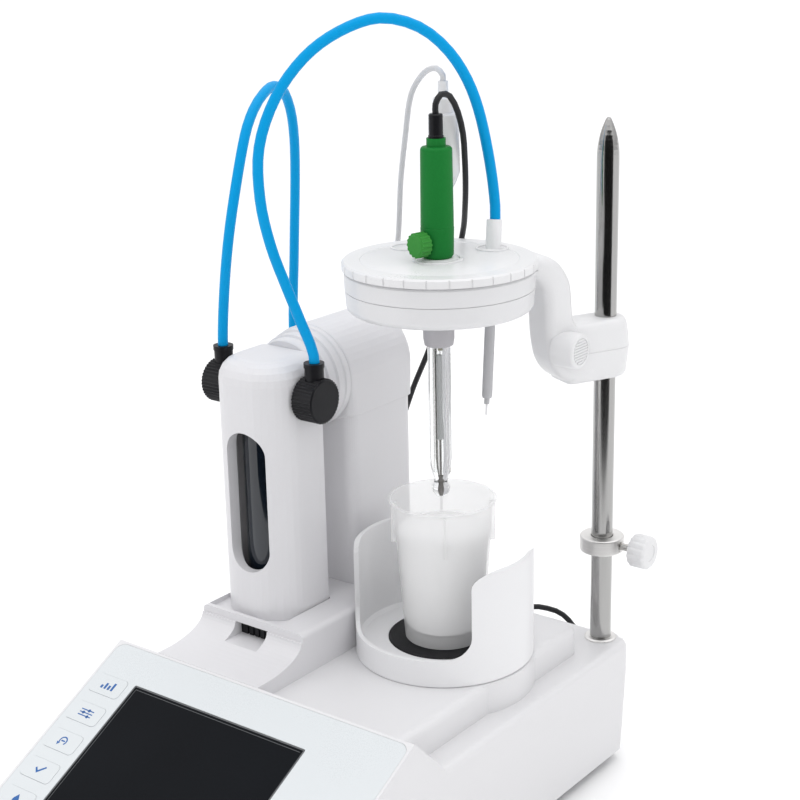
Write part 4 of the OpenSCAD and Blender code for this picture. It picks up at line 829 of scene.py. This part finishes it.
def add_arm():
    """The bent arm with its well-rounded edges, and the clamp block round the rod."""
    bend = [
        (46, 305.8), (50.4, 306), (53, 307.4), (57, 307.5), (62.3, 305.4), (67, 301.8),
        (70.6, 297), (73.2, 291.5), (74.4, 284), (75, 276), (76.5, 269), (82, 264), (90, 261),
        (95, 250), (92, 240), (86, 235.6), (79, 235), (73.5, 236), (68.2, 239), (64.2, 243.5),
        (61.4, 249), (59.8, 256), (58.8, 264), (58.3, 272), (57.9, 281), (56.6, 288.5),
        (53.6, 293.4), (50, 296), (46, 297),
    ]
    path = smooth_path([(x * MM, 0, z * MM) for x, z in reversed(bend)], 0.002, 0.0)
    outline = [(p.x / MM, p.z / MM) for p in path]
    half, round_edge = 12.0, 5.2
    steps = [math.radians(90 * i / 6) for i in range(7)]
    levels = [
        (-half + round_edge * (1 - math.cos(a)), round_edge * (1 - math.sin(a))) for a in steps
    ]
    levels += [(-height, depth) for height, depth in reversed(levels)]
    upright = ARM @ Matrix.Rotation(math.radians(90), 4, "X")
    bend_mesh = padded("arm_bend", outline, levels, upright)
    holder_part("arm_bend", bend_mesh, "holder_arm", smooth_angle=50)

    rod_x, block_radius = 102.16, 13.0
    corner_x, corner_y, corner_radius = 77, 6, 7
    plan = arc_points(rod_x, 0, block_radius, -90, 91, 9)
    plan += arc_points(corner_x, corner_y, corner_radius, 90, 181, 15)
    plan += arc_points(corner_x, -corner_y, corner_radius, 180, 271, 15)
    profile = [
        (234.4, 4.4), (234.6, 3.6), (235.4, 2.4), (237.0, 1.5), (242, 1.05), (248, 0.35),
        (251.3, 0.0), (251.5, 0.35), (251.8, 0.35), (252.0, 0.0), (258, 0.5), (262.5, 1.2),
        (265.3, 1.9), (266.8, 2.9), (267.4, 3.9), (267.7, 5.2),
    ]
    clamp_mesh = padded("arm_clamp", plan, profile, ARM)
    holder_part("arm_clamp", clamp_mesh, "holder_arm", smooth_angle=50)

    face = axis_frame((0.0779, 0.1142, 0.256), (1, 0, 0))
    body = [
        (0, 0), (9.7, 0), (9.7, 11.8), (9.3, 12.8), (8.6, 13.4), (7.3, 13.5), (7.1, 13.0),
        (0, 13.0),
    ]
    button_mesh = lathe("button_body", body, face, 64)
    holder_part("button_body", button_mesh, "release_button", "release_button")
    rib_count, rib_pitch, rib_half, rib_reach = 9, 1.5, 0.38, 7.0
    bars = []
    for i in range(rib_count):
        middle = -6.0 + rib_pitch * i
        reach = math.sqrt(rib_reach**2 - (abs(middle) + 0.4) ** 2)
        bars.append(box_outline(middle - rib_half, -reach, middle + rib_half, reach))
    rib_mesh = slab("button_ribs", bars, face, 12.9, 13.5)
    holder_part("button_ribs", rib_mesh, "release_button", "release_button")


def add_insert():
    """The holder's drum, its top insert, and a raised rim round each socket."""
    disc = [(0, 310.4), (40.6, 310.4), (40.6, 311.2), (40.2, 311.35), (0, 311.35)]
    holder_part("insert_top", lathe("insert_top", disc, at_height(STIRRER, 0), 96), "insert_plate")
    drum = [
        (0, 306.1), (48, 306.1), (49, 305.1), (48.9, 296.9), (48.3, 296.9), (48.3, 296.5),
        (48.8, 296.5), (48.4, 291), (48.35, 289), (48.05, 287.5), (47.2, 286.2), (45.9, 285.3),
        (44.35, 285), (0, 285),
    ]
    drum_mesh = lathe("holder_drum", drum, at_height(STIRRER, 0), 96)
    # the drum takes the darker holder white: painted shade below the ring
    holder_part("holder_drum", drum_mesh, "holder_body", finish="holder_painted_shade")
    sockets = {
        "insert_rim_middle": (ELECTRODE, 13.2, 11.4),
        "insert_rim_right": ((0.0510, 0.0905), 8.8, 7.6),
        "insert_rim_left": ((0.0115, 0.0690), 8.8, 7.6),
    }
    low, edge, high, chamfer = 311.0, 311.8, 312.1, 0.3
    for name, (place, outer, inner) in sockets.items():
        profile = [
            (inner, low), (outer, low), (outer, edge), (outer - chamfer, high),
            (inner + chamfer, high), (inner, edge),
        ]
        holder_part(name, lathe(name, profile, at_height(place, 0), 64, True), "insert_plate")
    foot = [(0, low), (10.6, low), (10.4, 312.3), (9.4, 312.5), (0, 312.5)]
    boss_mesh = lathe("insert_boss", foot, at_height(ELECTRODE, 0), 64)
    holder_part("insert_boss", boss_mesh, "insert_plate")


# ---------------------------------------------------------------- display
PANEL_TILT = math.radians(28)
PANEL = Matrix.Translation((0, -0.04978, 0.101)) @ Matrix.Rotation(PANEL_TILT, 4, "X")
KEY_X, FIRST_KEY_Y, KEY_PITCH = -85.5, -28.4, 19


def box_outline(x0, y0, x1, y1):
    """Rectangle between two corners."""
    return [(x0, y0), (x1, y0), (x1, y1), (x0, y1)]


def ring_outline(radius, width, start, end, parts=20):
    """Bent bar between two angles, as one outline."""
    angles = [math.radians(start + (end - start) * i / parts) for i in range(parts + 1)]
    outside = [(radius * math.cos(a), radius * math.sin(a)) for a in angles]
    bore = radius - width
    inside = [(bore * math.cos(a), bore * math.sin(a)) for a in reversed(angles)]
    return outside + inside


def pictograms():
    """Plain signs for the five keys: bars, sliders, a stirring arrow, a check mark and a drop."""
    heights = ((-4.4, -0.4), (-1.9, 1.4), (0.6, 0.4), (3.1, 2.6))
    bars = [box_outline(x, -2.4, x + 1.5, h) for x, h in heights]
    sliders = [box_outline(-4.6, y, 4.6, y + 0.6) for y in (-2.1, -0.3, 1.5)]
    handles = ((1.6, -2.1), (-2.6, -0.3), (0.4, 1.5))
    sliders += [box_outline(x, y - 0.6, x + 1.3, y + 1.2) for x, y in handles]
    stir = [ring_outline(2.7, 0.75, -50, 210), [(-3.5, -1.1), (-1.2, -1.3), (-2.6, -3.1)]]
    stir += [box_outline(-1.3, -0.4, 1.3, 0.4)]
    check = [[(-3.4, 0.2), (-2.7, 0.9), (-1.0, -0.8), (2.7, 2.7), (3.4, 2.0), (-1.0, -2.4)]]
    turns = [math.radians(30 - 15 * i) for i in range(17)]
    drop = [[(0, 3.0)] + [(2.1 * math.cos(a), 2.1 * math.sin(a) - 0.8) for a in turns]]
    return [bars, sliders, stir, check, drop]


def add_display():
    """Signs on the keys, and the stepped edge round the display window."""
    for i, outlines in enumerate(pictograms()):
        key_y = FIRST_KEY_Y - KEY_PITCH * i
        place = PANEL @ Matrix.Translation((KEY_X * MM, key_y * MM, 0))
        name = f"key_sign_{i + 1}"
        mesh = slab(name, outlines, place, 0.14, 0.2)
        sign = new_piece(name, mesh, FINISH["mark_blue"], f"key_{i + 1}")
    x0, x1, y0, y1 = -70.0, 49.0, -110.4, -22.4
    rims = [
        box_outline(x0 + 0.2, y0 + 0.2, x0 + 0.9, y1 - 0.2),
        box_outline(x1 - 0.9, y0 + 0.2, x1 - 0.2, y1 - 0.2),
        box_outline(x0 + 0.9, y1 - 0.9, x1 - 0.9, y1 - 0.2),
        box_outline(x0 + 0.9, y0 + 0.2, x1 - 0.9, y0 + 0.9),
    ]
    mesh = slab("display_rim", rims, PANEL, -0.2, -0.04)
    rim = new_piece("display_rim", mesh, FINISH["lcd_edge"], "root")
    inner = [
        box_outline(x0 + 2.2, y0 + 2.2, x0 + 2.45, y1 - 2.2),
        box_outline(x0 + 2.45, y1 - 2.45, x1 - 2.2, y1 - 2.2),
    ]
    mesh = slab("display_line", inner, PANEL, -0.16, -0.11)
    line = new_piece("display_line", mesh, FINISH["lcd_edge"], "root")


# ---------------------------------------------------------------- floor
def add_floor():
    """Plain pale floor."""
    mesh = bpy.data.meshes.new("floor")
    size = 30.0
    corners = [(-size, -size, 0), (size, -size, 0), (size, size, 0), (-size, size, 0)]
    mesh.from_pydata(corners, [], [(0, 1, 2, 3)])
    floor = bpy.data.objects.new("floor", mesh)
    bpy.context.scene.collection.objects.link(floor)
    white = surface(
        "floor_white", (0.975, 0.975, 0.975), 0.6, grain=60, relief=0.0, tint=0.004
    )
    mesh.materials.append(white)
    floor.location.z = -0.0002


add_camera()
add_cords()
add_studio()
add_floor()
dress_nodes()
add_electrode()
add_dosing_tip()
add_beaker()
add_collar_knob()
add_arm()
add_insert()
add_display()
